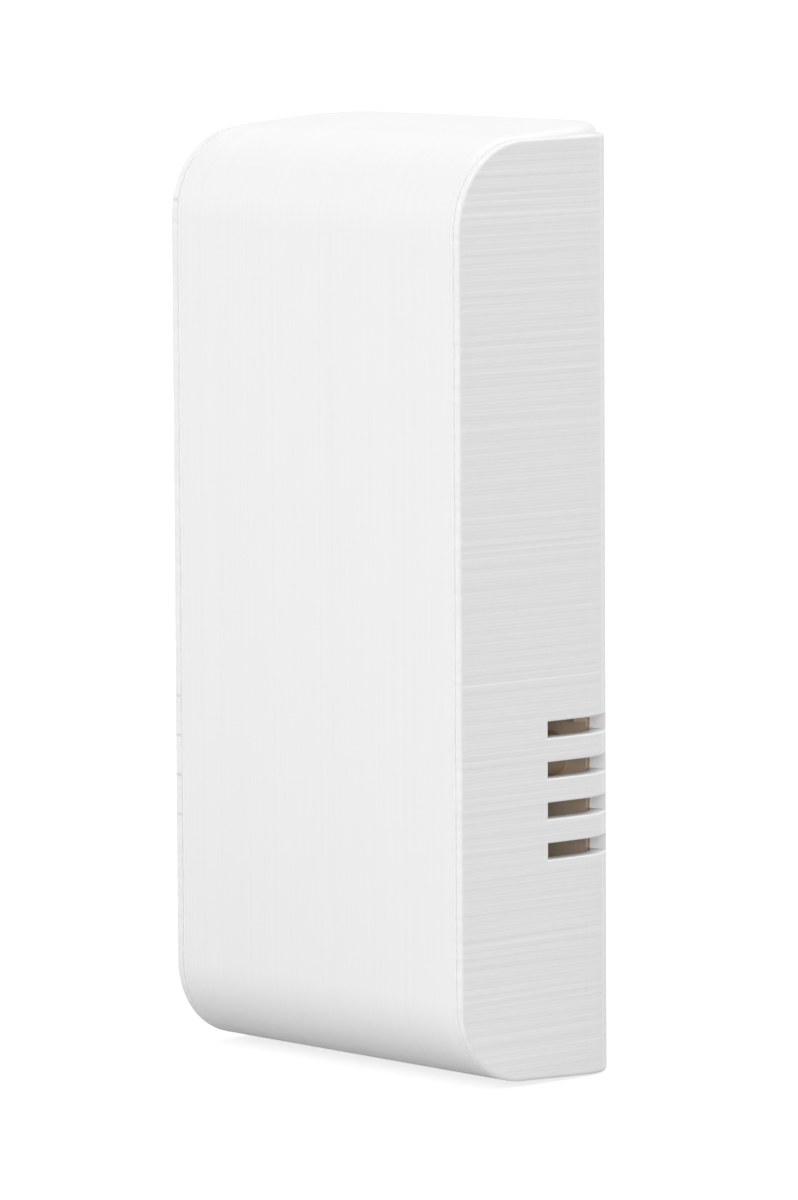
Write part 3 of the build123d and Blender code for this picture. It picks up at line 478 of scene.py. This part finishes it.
def lens(name, colour):
    """Milky lamp lens with slow cloudy patches."""
    material, sheet, shader, place = new_material(name, Coat_Weight=0.3, Subsurface_Weight=0.15)
    skin = sheet.group(grain, {"Place": place, "Rate": 2.0, "Patch Rate": 0.9})
    shaded = sheet.scaled(colour, sheet.plus(1.0, skin["Patch"], 0.35))
    dress(sheet, shader, shaded, sheet.plus(0.2, skin["Patch"], 0.2), skin["Height"], 0.01)
    return material


finishes = {
    "white_print": printed(
        "white_print",
        (0.84, 0.84, 0.845),
        stack_axis=0,
        layer_gain=0.067,
        raster_gain=0.16,
        # Painted glow on the inner faces of the rear lip, painted light.
        through=0.23,
        deepest=-2.3,
        ridges=(
            (48.7, 0.05), (37.0, 0.02), (22.7, 0.02),
            (-7.7, -0.03), (-8.3, 0.08), (-9.2, -0.03), (-20.8, 0.02),
        ),
        # Seam grooves painted a little lighter, painted light.
        seams=(-25.45, 26.03),
        lip=25.55,
        nicks=(48.75, -13.7, -18.7, -23.7, -28.7),
    ),
    "plate_print": printed(
        "tan_print",
        (0.64, 0.49, 0.375),
        stack_axis=1,
        layer_gain=0.1,
        raster_gain=0.2,
        # Painted glow on the plate's inner face, painted light.
        through=0.085,
        deepest=-2.7,
    ),
    "zinc_steel": metal("zinc_plated_steel", (0.66, 0.66, 0.63), 0.33, axis=1, streak_rate=5.0),
    "tray_plastic": moulded("black_tray_plastic", (0.04, 0.04, 0.045), 0.5),
    "cell_steel": metal("plated_can_steel", (0.72, 0.71, 0.68), 0.28, axis=2, streak_rate=4.0),
    "cell_wrap": shrink_film("cell_film", 24.0, 31.5),
    "nickel_strip": metal("nickel_plated_strip", (0.76, 0.74, 0.69), 0.22, axis=0, streak_rate=6.0),
    "nickel_wire": metal(
        "drawn_nickel_wire", (0.72, 0.7, 0.66), 0.25, axis=2, streak_rate=3.0, scratched=0.2
    ),
    "black_insulation": insulation("black_lead_insulation", (0.03, 0.03, 0.03)),
    "red_insulation": insulation("red_lead_insulation", (0.62, 0.04, 0.03)),
    "solder": solder_metal("reflowed_solder"),
    "green_board": solder_mask("green_board_mask", (0.03, 0.24, 0.12), thickness_axis=1),
    "radio_board": solder_mask("dark_blue_board_mask", (0.02, 0.05, 0.13), thickness_axis=1),
    "shield_metal": metal("tinned_shield_sheet", (0.74, 0.74, 0.73), 0.3, axis=0, streak_rate=5.0),
    "gold_track": metal(
        "gold_flashed_copper", (0.83, 0.66, 0.33), 0.26, axis=0, streak_rate=6.0, scratched=0.2
    ),
    "chip_black": moulded("black_chip_resin", (0.035, 0.035, 0.037), 0.5, 9.0, 0.01),
    "ferrite": pressed_powder("pressed_ferrite", (0.13, 0.13, 0.135)),
    "tantalum_case": moulded("amber_tantalum_case", (0.8, 0.52, 0.1), 0.35, 8.0, 0.006),
    "ceramic_chip": moulded("tan_capacitor_ceramic", (0.62, 0.47, 0.3), 0.3, 8.0, 0.004),
    "resistor_chip": moulded("black_resistor_glaze", (0.05, 0.05, 0.05), 0.25, 5.0, 0.004),
    "led_lens": lens("milky_lamp_lens", (0.92, 0.9, 0.8)),
    "button_plastic": moulded("black_button_plastic", (0.06, 0.06, 0.06), 0.4, 8.0, 0.008),
    "knob_plastic": moulded("black_switch_plastic", (0.05, 0.05, 0.05), 0.42, 8.0, 0.008),
}
# Nodes that are turned against the others of their finish.
turned_finishes = {
    "sensor_board": solder_mask("dark_blue_sensor_board_mask", (0.02, 0.05, 0.13), 0),
    "cell_right_sleeve": shrink_film("turned_cell_film", -2.1, 5.4),
}
masked_copper = solder_mask("masked_copper_green", (0.09, 0.43, 0.24), thickness_axis=1)
masked_copper_blue = solder_mask("masked_copper_blue", (0.05, 0.14, 0.3), thickness_axis=0)
white_ink = moulded("white_board_ink", (0.82, 0.82, 0.8), 0.5, 7.0, 0.004)

for part in frame["record"]["subparts"]:
    mesh = nodes[part["node"]].data
    mesh.materials.clear()
    mesh.materials.append(turned_finishes.get(part["node"]) or finishes[part["material_slot"]])


# ---------------------------------------------------------------- fine pieces

X_WAY, Y_WAY, Z_WAY = Vector((1, 0, 0)), Vector((0, 1, 0)), Vector((0, 0, 1))

# All in millimetres. The pitches and insets are those of the CAD parts.
EDGE_PAD_PITCH, EDGE_PADS = 1.5, 7
PIN_PITCH, PINS, FIRST_PIN = 1.9, 4, 0.3
CONTACT_PITCH, CONTACTS = 2.0, 3
SENSOR_FOOT_PITCH = 0.6
BUTTON_FOOT_INSET = 1.0
TRACK_WIDTH, TRACK_HEIGHT = 0.26, 0.04
INK_WIDTH, INK_HEIGHT = 0.16, 0.025
MARK_WIDTH, MARK_LENGTH = 0.7, 3.4


def span(node):
    """Lowest and highest corner of a CAD node in millimetres."""
    low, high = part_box(node)
    return Vector(low) / MM, Vector(high) / MM


def solid_spans(node):
    """Lowest and highest corner of each separate solid of a node, from below and from the left."""
    form = bmesh.new()
    form.from_mesh(nodes[node].data)
    bmesh.ops.remove_doubles(form, verts=form.verts, dist=1e-6)
    waiting = set(form.verts)
    spans = []
    while waiting:
        edge_of_search = [waiting.pop()]
        places = []
        while edge_of_search:
            vert = edge_of_search.pop()
            places.append(vert.co / MM)
            for edge in vert.link_edges:
                other = edge.other_vert(vert)
                if other in waiting:
                    waiting.remove(other)
                    edge_of_search.append(other)
        low = Vector([min(p[i] for p in places) for i in range(3)])
        high = Vector([max(p[i] for p in places) for i in range(3)])
        spans.append((low, high))
    form.free()
    return sorted(spans, key=lambda pair: (round(pair[0].z, 3), pair[0].x))


class Detail:
    """Mesh of one fine piece on a flat face. u and v go along it, w out of it, in millimetres."""

    def __init__(self, corner, along, up):
        self.corner, self.along, self.up = corner, along, up
        self.out = along.cross(up)
        self.form = bmesh.new()

    def vert(self, u, v, w):
        place = self.corner + self.along * u + self.up * v + self.out * w
        return self.form.verts.new(place * MM)

    def ring_of(self, outline, w):
        return [self.vert(u, v, w) for u, v in outline]

    def circle(self, u, v, radius, turns, w):
        return self.ring_of([(u + radius * cos(t), v + radius * sin(t)) for t in turns], w)

    def join(self, rings, closed=True):
        """Skin over rings of vertices that follow each other."""
        for first, second in zip(rings, rings[1:]):
            count = len(first)
            for i in range(count if closed else count - 1):
                j = (i + 1) % count
                self.form.faces.new((first[i], first[j], second[j], second[i]))

    def block(self, low_u, low_v, high_u, high_v, high, ease=0.05):
        """Rectangular block standing on the face, with its front edge rounded over."""
        profile = ((0, 0), (0, high - ease), (0.3 * ease, high - 0.49 * ease), (ease, high))
        rings = []
        for inset, level in profile:
            left, right, bottom, top = low_u + inset, high_u - inset, low_v + inset, high_v - inset
            corners = [(left, bottom), (right, bottom), (right, top), (left, top)]
            rings.append(self.ring_of(corners, level))
        self.join(rings)
        self.form.faces.new(rings[-1])

    def tab(self, edge, way, inward, outward, low_v, high_v, high, ease=0.04):
        """Block across the line u = edge, from inward of it to outward of it, seen along way."""
        inner, outer = sorted((edge - way * inward, edge + way * outward))
        self.block(inner, low_v, outer, high_v, high, ease)

    def annulus(self, u, v, inner, outer, high, start=0.0, sweep=2 * pi, sides=24):
        """Flat ring, or part of one, with its two edges eased."""
        full = sweep > 2 * pi - 0.01
        count = sides if full else sides // 2 + 1
        step = sweep / (count if full else count - 1)
        turns = [start + i * step for i in range(count)]
        ease = min(0.03, (outer - inner) / 3)
        profile = (
            (outer, 0.0),
            (outer, high - ease),
            (outer - ease, high),
            (inner + ease, high),
            (inner, 0.0),
        )
        self.join([self.circle(u, v, radius, turns, w) for radius, w in profile], closed=full)

    def dome(self, u, v, radius, high):
        """Small bead of solder standing on the face."""
        sides, steps = 16, 4
        turns = [2 * pi * i / sides for i in range(sides)]
        leans = [0.5 * pi * i / steps for i in range(steps)]
        rings = [self.circle(u, v, radius * cos(lean), turns, high * sin(lean)) for lean in leans]
        self.join(rings)
        self.form.faces.new(rings[-1])

    def track(self, points, width=TRACK_WIDTH, high=TRACK_HEIGHT):
        """Etched strip along a bent line, mitred at its bends, with sloping edges."""
        points = [Vector(p) for p in points]
        half = width / 2
        rows = []
        for i, point in enumerate(points):
            before = (point - points[i - 1]).normalized() if i else None
            after = (points[i + 1] - point).normalized() if i + 1 < len(points) else None
            way = ((before or after) + (after or before)).normalized()
            reach = 1 / max(way.dot(after or before), 0.5)
            side = Vector((-way.y, way.x)) * reach
            profile = ((-half, 0.0), (-half + high, high), (half - high, high), (half, 0.0))
            rows.append([self.vert(*(point + side * across), w) for across, w in profile])
        for first, second in zip(rows, rows[1:]):
            for i in range(len(first) - 1):
                self.form.faces.new((first[i], first[i + 1], second[i + 1], second[i]))
        for row in (rows[0], rows[-1]):
            self.form.faces.new(row)

    def fillet(self, start, end, away, reach, climb):
        """Concave solder fillet along a foot line, running out from a wall."""
        away = Vector(away)
        shares = (0.0, 0.2, 0.4, 0.6, 0.8, 1.0)
        profile = [(away * reach * t, climb * (1 - t) ** 2.2) for t in shares]
        rows = []
        for foot in (Vector(start), Vector(end)):
            rows.append([self.vert(*(foot + run), rise) for run, rise in profile])
        self.join(rows, closed=False)
        for row, foot in zip(rows, (start, end)):
            self.form.faces.new(row + [self.vert(*foot, 0.0)])

    def finish(self, name, slot, material=None):
        """Named piece of the mesh, riding on the base. Its slot's own material is the usual one."""
        bmesh.ops.remove_doubles(self.form, verts=self.form.verts, dist=1e-7)
        bmesh.ops.recalc_face_normals(self.form, faces=self.form.faces)
        mesh = bpy.data.meshes.new(name)
        self.form.to_mesh(mesh)
        self.form.free()
        mesh.materials.append(material or finishes[slot])
        mesh.shade_smooth()
        mesh.set_sharp_from_angle(angle=radians(30))
        piece = bpy.data.objects.new(name, mesh)
        bpy.context.scene.collection.objects.link(piece)
        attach(piece, "base")


board_front = span("main_board")[0].y
module_low, module_high = span("radio_board")
edge_pads = [module_low.z + EDGE_PAD_PITCH * (i + 1) for i in range(EDGE_PADS)]


def on_board():
    """Fine piece on the front of the main board: u is x and v is z."""
    return Detail(Vector((0, board_front, 0)), X_WAY, Z_WAY)


def on_upright_board():
    """Fine piece on the right of the sensor board: u is y and v is z."""
    return Detail(Vector((span("sensor_board")[1].x, 0, 0)), Y_WAY, Z_WAY)


def bend(start, end):
    """Straight first, then at 45 degrees to the end."""
    across, rise = end[0] - start[0], end[1] - start[1]
    slope = min(abs(across), abs(rise))
    if abs(across) > abs(rise):
        corner = (end[0] - slope * (1 if across > 0 else -1), start[1])
    else:
        corner = (start[0], end[1] - slope * (1 if rise > 0 else -1))
    return [start, corner, end]


def button_foot_levels():
    low, high = span("button_housing")
    return low.z + BUTTON_FOOT_INSET, high.z - BUTTON_FOOT_INSET


def add_chip_ends():
    """Tinned ends of the small chip parts, with their solder fillets."""
    ends = on_board()
    proud = 0.02
    for node in ("chip_capacitors", "chip_resistors"):
        for low, high in solid_spans(node):
            top = board_front - low.y + proud
            for edge, way in ((low.x, -1), (high.x, 1)):
                ends.tab(edge, way, 0.32, proud, low.z - proud, high.z + proud, top, 0.06)
                foot = edge + way * 0.01
                ends.fillet((foot, low.z + 0.03), (foot, high.z - 0.03), (way, 0), 0.26, top * 0.72)
    ends.finish("chip_ends", "solder")


def add_power_part_joints():
    """Folded tabs and fillets of the tantalum capacitor and the inductor."""
    joints = on_board()
    for node, inset, tall in (("tantalum_capacitor", 0.5, 1.1), ("power_inductor", 0.9, 0.6)):
        low, high = span(node)
        left, right = low.x + inset, high.x - inset
        for edge, way in ((low.z, -1), (high.z, 1)):
            bottom, top = sorted((edge - way * 0.1, edge + way * 0.08))
            joints.block(left, bottom, right, top, tall, 0.04)
            foot = edge + way * 0.07
            joints.fillet((left, foot), (right, foot), (0, way), 0.32, tall * 0.7)
    joints.finish("power_part_joints", "solder")


def add_regulator_legs():
    """Tinned legs over the regulator's foot bars, three below and two above."""
    low, high = span("voltage_regulator")
    middle = (low.x + high.x) / 2
    legs = on_board()
    leg_pitch, half_leg = 0.95, 0.22
    for edge, way, places in ((low.z, 1, (-1, 0, 1)), (high.z, -1, (-1, 1))):
        for number in places:
            left = middle + number * leg_pitch - half_leg
            right = middle + number * leg_pitch + half_leg
            bottom, top = sorted((edge - way * 0.02, edge + way * 0.6))
            legs.block(left, bottom, right, top, 0.32, 0.06)
            legs.fillet((left, edge), (right, edge), (0, -way), 0.2, 0.22)
    legs.finish("regulator_legs", "solder")


def add_module_pads():
    """Gold half rings round the module's edge notches, and the solder that runs out of them."""
    rings = Detail(Vector((0, module_low.y, 0)), X_WAY, Z_WAY)
    beads_of_solder = on_board()
    for z in edge_pads:
        rings.annulus(module_low.x, z, 0.36, 0.62, 0.03, -pi / 2, pi)
        rings.annulus(module_high.x, z, 0.36, 0.62, 0.03, pi / 2, pi)
        for x in (module_low.x - 0.05, module_high.x + 0.05):
            beads_of_solder.dome(x, z, 0.34, 0.6)
    rings.finish("module_edge_pads", "gold_track")
    beads_of_solder.finish("module_edge_solder", "solder")


def add_screw_lands():
    """Tinned lands round the board screws."""
    lands = on_board()
    for low, high in solid_spans("board_screws"):
        middle = (low + high) / 2
        lands.annulus(middle.x, middle.z, 1.6, 2.45, 0.035, sides=40)
    lands.finish("screw_lands", "solder")


def add_tracks():
    """Etched copper under the mask, and the plated holes at the ends of some of it."""
    copper = on_board()
    holes = on_board()
    switch_low, switch_high = span("switch_base")
    lamp_low, lamp_high = span("status_led")
    header_low = span("sensor_header")[0]
    tantalum_low, tantalum_high = span("tantalum_capacitor")
    inductor_low, inductor_high = span("power_inductor")
    resistor_low = span("chip_resistors")[0]
    button_right = span("button_housing")[1].x

    def hole(place):
        holes.annulus(*place, 0.16, 0.38, TRACK_HEIGHT + 0.005, sides=16)

    def run_to_hole(start, end):
        copper.track(bend(start, end))
        hole(end)

    # From the module's left pads, four lanes go down to the switch. The other pads end at holes.
    to_switch = 4
    for i, z in enumerate(edge_pads[:to_switch]):
        lane = module_low.x - 1.0 - 0.55 * i
        contact = switch_high.z - 1.2 - CONTACT_PITCH * i
        turn = (lane, z - 0.9)
        copper.track([(module_low.x - 0.2, z)] + bend((module_low.x - 0.4, z), turn)[1:])
        copper.track([turn] + bend((lane, contact + 1.2), (switch_low.x - 0.1, contact)))
    for i, z in enumerate(edge_pads[to_switch:]):
        run_to_hole((module_low.x - 0.2, z), (module_low.x - 1.5 - 0.8 * i, z + 0.6))
    for z in edge_pads:
        copper.track([(module_high.x + 0.2, z), (resistor_low.x - 0.1, z)])

    # From the sensor's header, three lanes go down and left, to a bus below the power parts.
    bus = resistor_low.z - 1.0
    for i in range(3):
        pin = header_low.z + 0.95 + PIN_PITCH * i
        lane = tantalum_high.x + 0.3 + 0.42 * i
        level = bus - 0.5 * i
        left = resistor_low.x + 0.4 + 0.5 * i
        corner = (lane - 0.8, level)
        copper.track([(header_low.x, pin), (lane, pin - 0.3), (lane, level + 0.8), corner])
        copper.track([corner, (left, level), (left - 0.3, level + 0.3)])
        hole((left - 0.4, level + 0.45))

    # Broad supply tracks at the inductor.
    start = (inductor_high.x, inductor_low.z + 0.8)
    copper.track(bend(start, (tantalum_low.x + 1.0, tantalum_low.z - 0.4)), 0.7)
    middle = (inductor_low.x + inductor_high.x) / 2
    copper.track([(middle, inductor_high.z + 0.1), (middle, inductor_high.z + 0.7)], 0.9)

    lamp_level = (lamp_low.z + lamp_high.z) / 2
    run_to_hole((lamp_low.x - 0.1, lamp_level), (lamp_low.x - 1.5, bus - 1.6))
    run_to_hole((lamp_high.x + 0.1, lamp_level), (lamp_high.x + 1.6, bus - 1.6))
    for z in button_foot_levels():
        run_to_hole((button_right + 0.1, z), (button_right + 1.3, z + 1.4))
    copper.finish("copper_tracks", "green_board", masked_copper)
    holes.finish("through_hole_rings", "gold_track")


def add_part_pads():
    """Tinned pads and fillets at the feet of the button, the lamp and the switch."""
    pads = on_board()
    low, high = span("button_housing")
    for z in button_foot_levels():
        for edge, way in ((low.x, -1), (high.x, 1)):
            pads.tab(edge, way, 0, 0.75, z - 0.4, z + 0.4, 0.1)
            pads.fillet((edge, z - 0.32), (edge, z + 0.32), (way, 0), 0.45, 0.5)
    low, high = span("status_led")
    for edge, way in ((low.x, -1), (high.x, 1)):
        pads.tab(edge, way, 0.3, 0.02, low.z - 0.01, high.z + 0.01, 0.42)
        pads.fillet((edge, low.z + 0.1), (edge, high.z - 0.1), (way, 0), 0.3, 0.32)
    low, high = span("switch_base")
    for i in range(CONTACTS):
        z = low.z + 2.3 + CONTACT_PITCH * i
        for edge, way in ((low.x, -1), (high.x, 1)):
            pads.tab(edge, way, 0, 0.8, z - 0.3, z + 0.3, 0.12)
            pads.fillet((edge, z - 0.25), (edge, z + 0.25), (way, 0), 0.5, 0.5)
    pads.finish("part_feet", "solder")


def add_printed_outlines():
    """White ink round the parts, and the bar at the tantalum capacitor's plus end."""
    ink = on_board()
    gaps = {
        "power_inductor": 0.22,
        "tantalum_capacitor": 0.42,
        "button_housing": 0.28,
        "switch_base": 0.25,
        "status_led": 0.3,
    }
    dash = 0.36
    for node, gap in gaps.items():
        low, high = span(node)
        left, right, bottom, top = low.x - gap, high.x + gap, low.z - gap, high.z + gap
        corners = [Vector(c) for c in ((left, bottom), (right, bottom), (right, top), (left, top))]
        for i, corner in enumerate(corners):
            side = corners[(i + 1) % 4] - corner
            for share in (0.0, 1 - dash):
                start = corner + side * share
                ink.track([start, start + side * dash], INK_WIDTH, INK_HEIGHT)
    low, high = span("tantalum_capacitor")
    ink.track([(low.x, high.z + 0.75), (high.x, high.z + 0.75)], 0.3, INK_HEIGHT)
    ink.finish("printed_outlines", "led_lens", white_ink)


def add_upright_board_detail():
    """Pads, tracks and one small capacitor on the sensor board."""
    rings, copper, ends, body = [on_upright_board() for _ in range(4)]
    chip_low, chip_high = span("sensor_chip")
    pins_low = span("sensor_pins")[0]
    pin_y = pins_low.y + FIRST_PIN
    for i in range(PINS):
        z = pins_low.z + FIRST_PIN + PIN_PITCH * i
        rings.annulus(pin_y, z, 0.36, 0.72, 0.04, sides=20)
        foot = chip_low.z + 0.35 + SENSOR_FOOT_PITCH * i
        copper.track(bend((pin_y - 0.6, z), (chip_high.y + 0.05, foot)), 0.22, 0.035)
        for edge, way in ((chip_low.y, -1), (chip_high.y, 1)):
            ends.fillet((edge, foot - 0.13), (edge, foot + 0.13), (way, 0), 0.22, 0.3)

    middle, level = (chip_low.y + chip_high.y) / 2, chip_low.z - 1.9
    for way in (-1, 1):
        edge = middle + way * 0.82
        ends.tab(edge, way, 0.32, 0, level - 0.42, level + 0.42, 0.62, 0.05)
        ends.fillet((edge, level - 0.36), (edge, level + 0.36), (way, 0), 0.25, 0.42)
    body.block(middle - 0.52, level - 0.4, middle + 0.52, level + 0.4, 0.6)
    rings.finish("upright_board_rings", "gold_track")
    copper.finish("upright_board_tracks", "radio_board", masked_copper_blue)
    ends.finish("upright_board_solder", "solder")
    body.finish("upright_board_capacitor", "ceramic_chip")


def add_cell_marks(side, plus_up):
    """Generic plus and minus marks printed on a cell's film."""
    low, high = span("cell_" + side + "_sleeve")
    radius = (high.x - low.x) / 2 + 0.015
    marks = Detail(Vector(((low.x + high.x) / 2, (low.y + high.y) / 2, 0)), X_WAY, Z_WAY)

    def curved_bar(across, up, level):
        steps = 6
        columns = []
        for i in range(steps + 1):
            turn = (i / steps - 0.5) * across / radius
            u, w = radius * sin(turn), radius * cos(turn)
            columns.append([marks.vert(u, v, w) for v in (level - up / 2, level + up / 2)])
        for first, second in zip(columns, columns[1:]):
            marks.form.faces.new((first[0], second[0], second[1], first[1]))

    # The plus is one bar with an upright half above it and one below it.
    half = (MARK_LENGTH - MARK_WIDTH) / 2
    levels = [low.z + 4.2, high.z - 4.2]
    plus_level, minus_level = reversed(levels) if plus_up else levels
    curved_bar(MARK_LENGTH, MARK_WIDTH, plus_level)
    for way in (1, -1):
        curved_bar(MARK_WIDTH, half, plus_level + way * (half + MARK_WIDTH) / 2)
    curved_bar(MARK_LENGTH, MARK_WIDTH, minus_level)
    marks.finish("cell_" + side + "_marks", "cell_wrap", white_ink)


add_chip_ends()
add_power_part_joints()
add_regulator_legs()
add_module_pads()
add_screw_lands()
add_tracks()
add_part_pads()
add_printed_outlines()
add_upright_board_detail()
add_cell_marks("left", True)
add_cell_marks("right", False)


# ---------------------------------------------------------------- camera, floor and light

CAMERA_PLACE = Vector((0.73724, -0.66946, 0.10335))
CAMERA_AZIMUTH, CAMERA_ELEVATION, CAMERA_ROLL = radians(48.36), radians(6.02), radians(-0.31)
SENSOR_HEIGHT, FOCAL_LENGTH = 36.0, 239.17
FLOOR_REACH = 4.0
FLOOR_LIT, FLOOR_SEEN = (0.55, 0.55, 0.55, 1), (0.34, 0.34, 0.34, 1)
GLOW_RISES = (0.12, 0.8)
GLOW_NEAR, GLOW_FAR = 0.78, 0.95
WORLD_ON_OBJECT, WORLD_SEEN = 0.44, 1.0


def add_camera():
    azimuth, elevation, roll = CAMERA_AZIMUTH, CAMERA_ELEVATION, CAMERA_ROLL
    right = Vector((cos(azimuth), sin(azimuth), 0))
    back = Vector((sin(azimuth) * cos(elevation), -cos(azimuth) * cos(elevation), sin(elevation)))
    up = back.cross(right)
    turned_right = cos(roll) * right + sin(roll) * up
    turned_up = cos(roll) * up - sin(roll) * right
    data = bpy.data.cameras.new("camera")
    data.sensor_fit = "VERTICAL"
    data.sensor_height = SENSOR_HEIGHT
    data.lens = FOCAL_LENGTH
    data.clip_start = 0.05
    data.clip_end = 50
    camera = bpy.data.objects.new("camera", data)
    turn = Matrix((turned_right, turned_up, back)).transposed()
    camera.matrix_world = Matrix.Translation(CAMERA_PLACE) @ turn.to_4x4()
    bpy.context.scene.collection.objects.link(camera)
    bpy.context.scene.camera = camera


def seen_rays(sheet):
    """1 for rays from the camera, also by a reflection or through something, and 0 for others."""
    ray = sheet.node("LightPath").outputs
    bounced = sheet.math("MAXIMUM", ray["Is Glossy Ray"], ray["Is Transmission Ray"])
    return sheet.math("MAXIMUM", ray["Is Camera Ray"], bounced)


def add_floor():
    """Pale floor that keeps the shadow. What is seen of it glows a little, more so far away."""
    level = cad_low[2]
    mesh = bpy.data.meshes.new("floor")
    ways = ((-1, -1), (1, -1), (1, 1), (-1, 1))
    corners = [(x * FLOOR_REACH, y * FLOOR_REACH, level) for x, y in ways]
    mesh.from_pydata(corners, [], [(0, 1, 2, 3)])
    floor = bpy.data.objects.new("floor", mesh)
    bpy.context.scene.collection.objects.link(floor)
    material = bpy.data.materials.new("pale_floor")
    material.use_nodes = True
    tree = material.node_tree
    sheet = Sheet(tree)
    tree.nodes.remove(tree.nodes["Principled BSDF"])
    plain = sheet.node("BsdfDiffuse", {"Color": FLOOR_LIT})
    paper = sheet.node("BsdfDiffuse", {"Color": FLOOR_SEEN})
    place = sheet.node("TexCoord").outputs["Object"]
    far = sheet.node("VectorMath", {"Vector": place}, operation="LENGTH").outputs["Value"]
    strength = sheet.ramp(far, *GLOW_RISES, GLOW_NEAR, GLOW_FAR)
    glow = sheet.node("Emission", {"Color": (1, 1, 1, 1), "Strength": strength})
    seen = sheet.node("AddShader")
    choice = sheet.node("MixShader", {"Fac": seen_rays(sheet)})
    for start, end in (
        (paper, seen.inputs[0]),
        (glow, seen.inputs[1]),
        (plain, choice.inputs[1]),
        (seen, choice.inputs[2]),
        (choice, tree.nodes["Material Output"].inputs["Surface"]),
    ):
        tree.links.new(start.outputs[0], end)
    mesh.materials.append(material)


def add_world():
    world = bpy.data.worlds.new("studio")
    bpy.context.scene.world = world
    world.use_nodes = True
    sheet = Sheet(world.node_tree)
    background = world.node_tree.nodes["Background"]
    background.inputs["Color"].default_value = (1, 1, 1, 1)
    strength = sheet.ramp(seen_rays(sheet), 0.0, 1.0, WORLD_ON_OBJECT, WORLD_SEEN, "LINEAR")
    sheet.feed(background.inputs["Strength"], strength)


def add_area_light(name, place, target, size, power):
    data = bpy.data.lights.new(name, "AREA")
    data.shape = "SQUARE"
    data.size = size
    data.energy = power
    light = bpy.data.objects.new(name, data)
    light.location = place
    light.rotation_euler = (Vector(target) - Vector(place)).to_track_quat("-Z", "Y").to_euler()
    light.visible_camera = False
    bpy.context.scene.collection.objects.link(light)


add_camera()
add_floor()
add_world()
add_area_light("left_key", (-0.62, -1.6, 0.8), (0, 0, 0), 1.0, 11.8)
add_area_light("camera_side", (0.98, -0.89, 0.19), (0, 0, -0.02), 0.4, 5.5)
add_area_light("high_front", (-0.4, -1.1, 1.5), (0, 0, 0), 1.0, 2.8)
add_area_light("above_behind", (0.45, 0.9, 1.5), (0, 0, 0), 1.0, 17.0)
bpy.context.scene.view_settings.view_transform = "Standard"
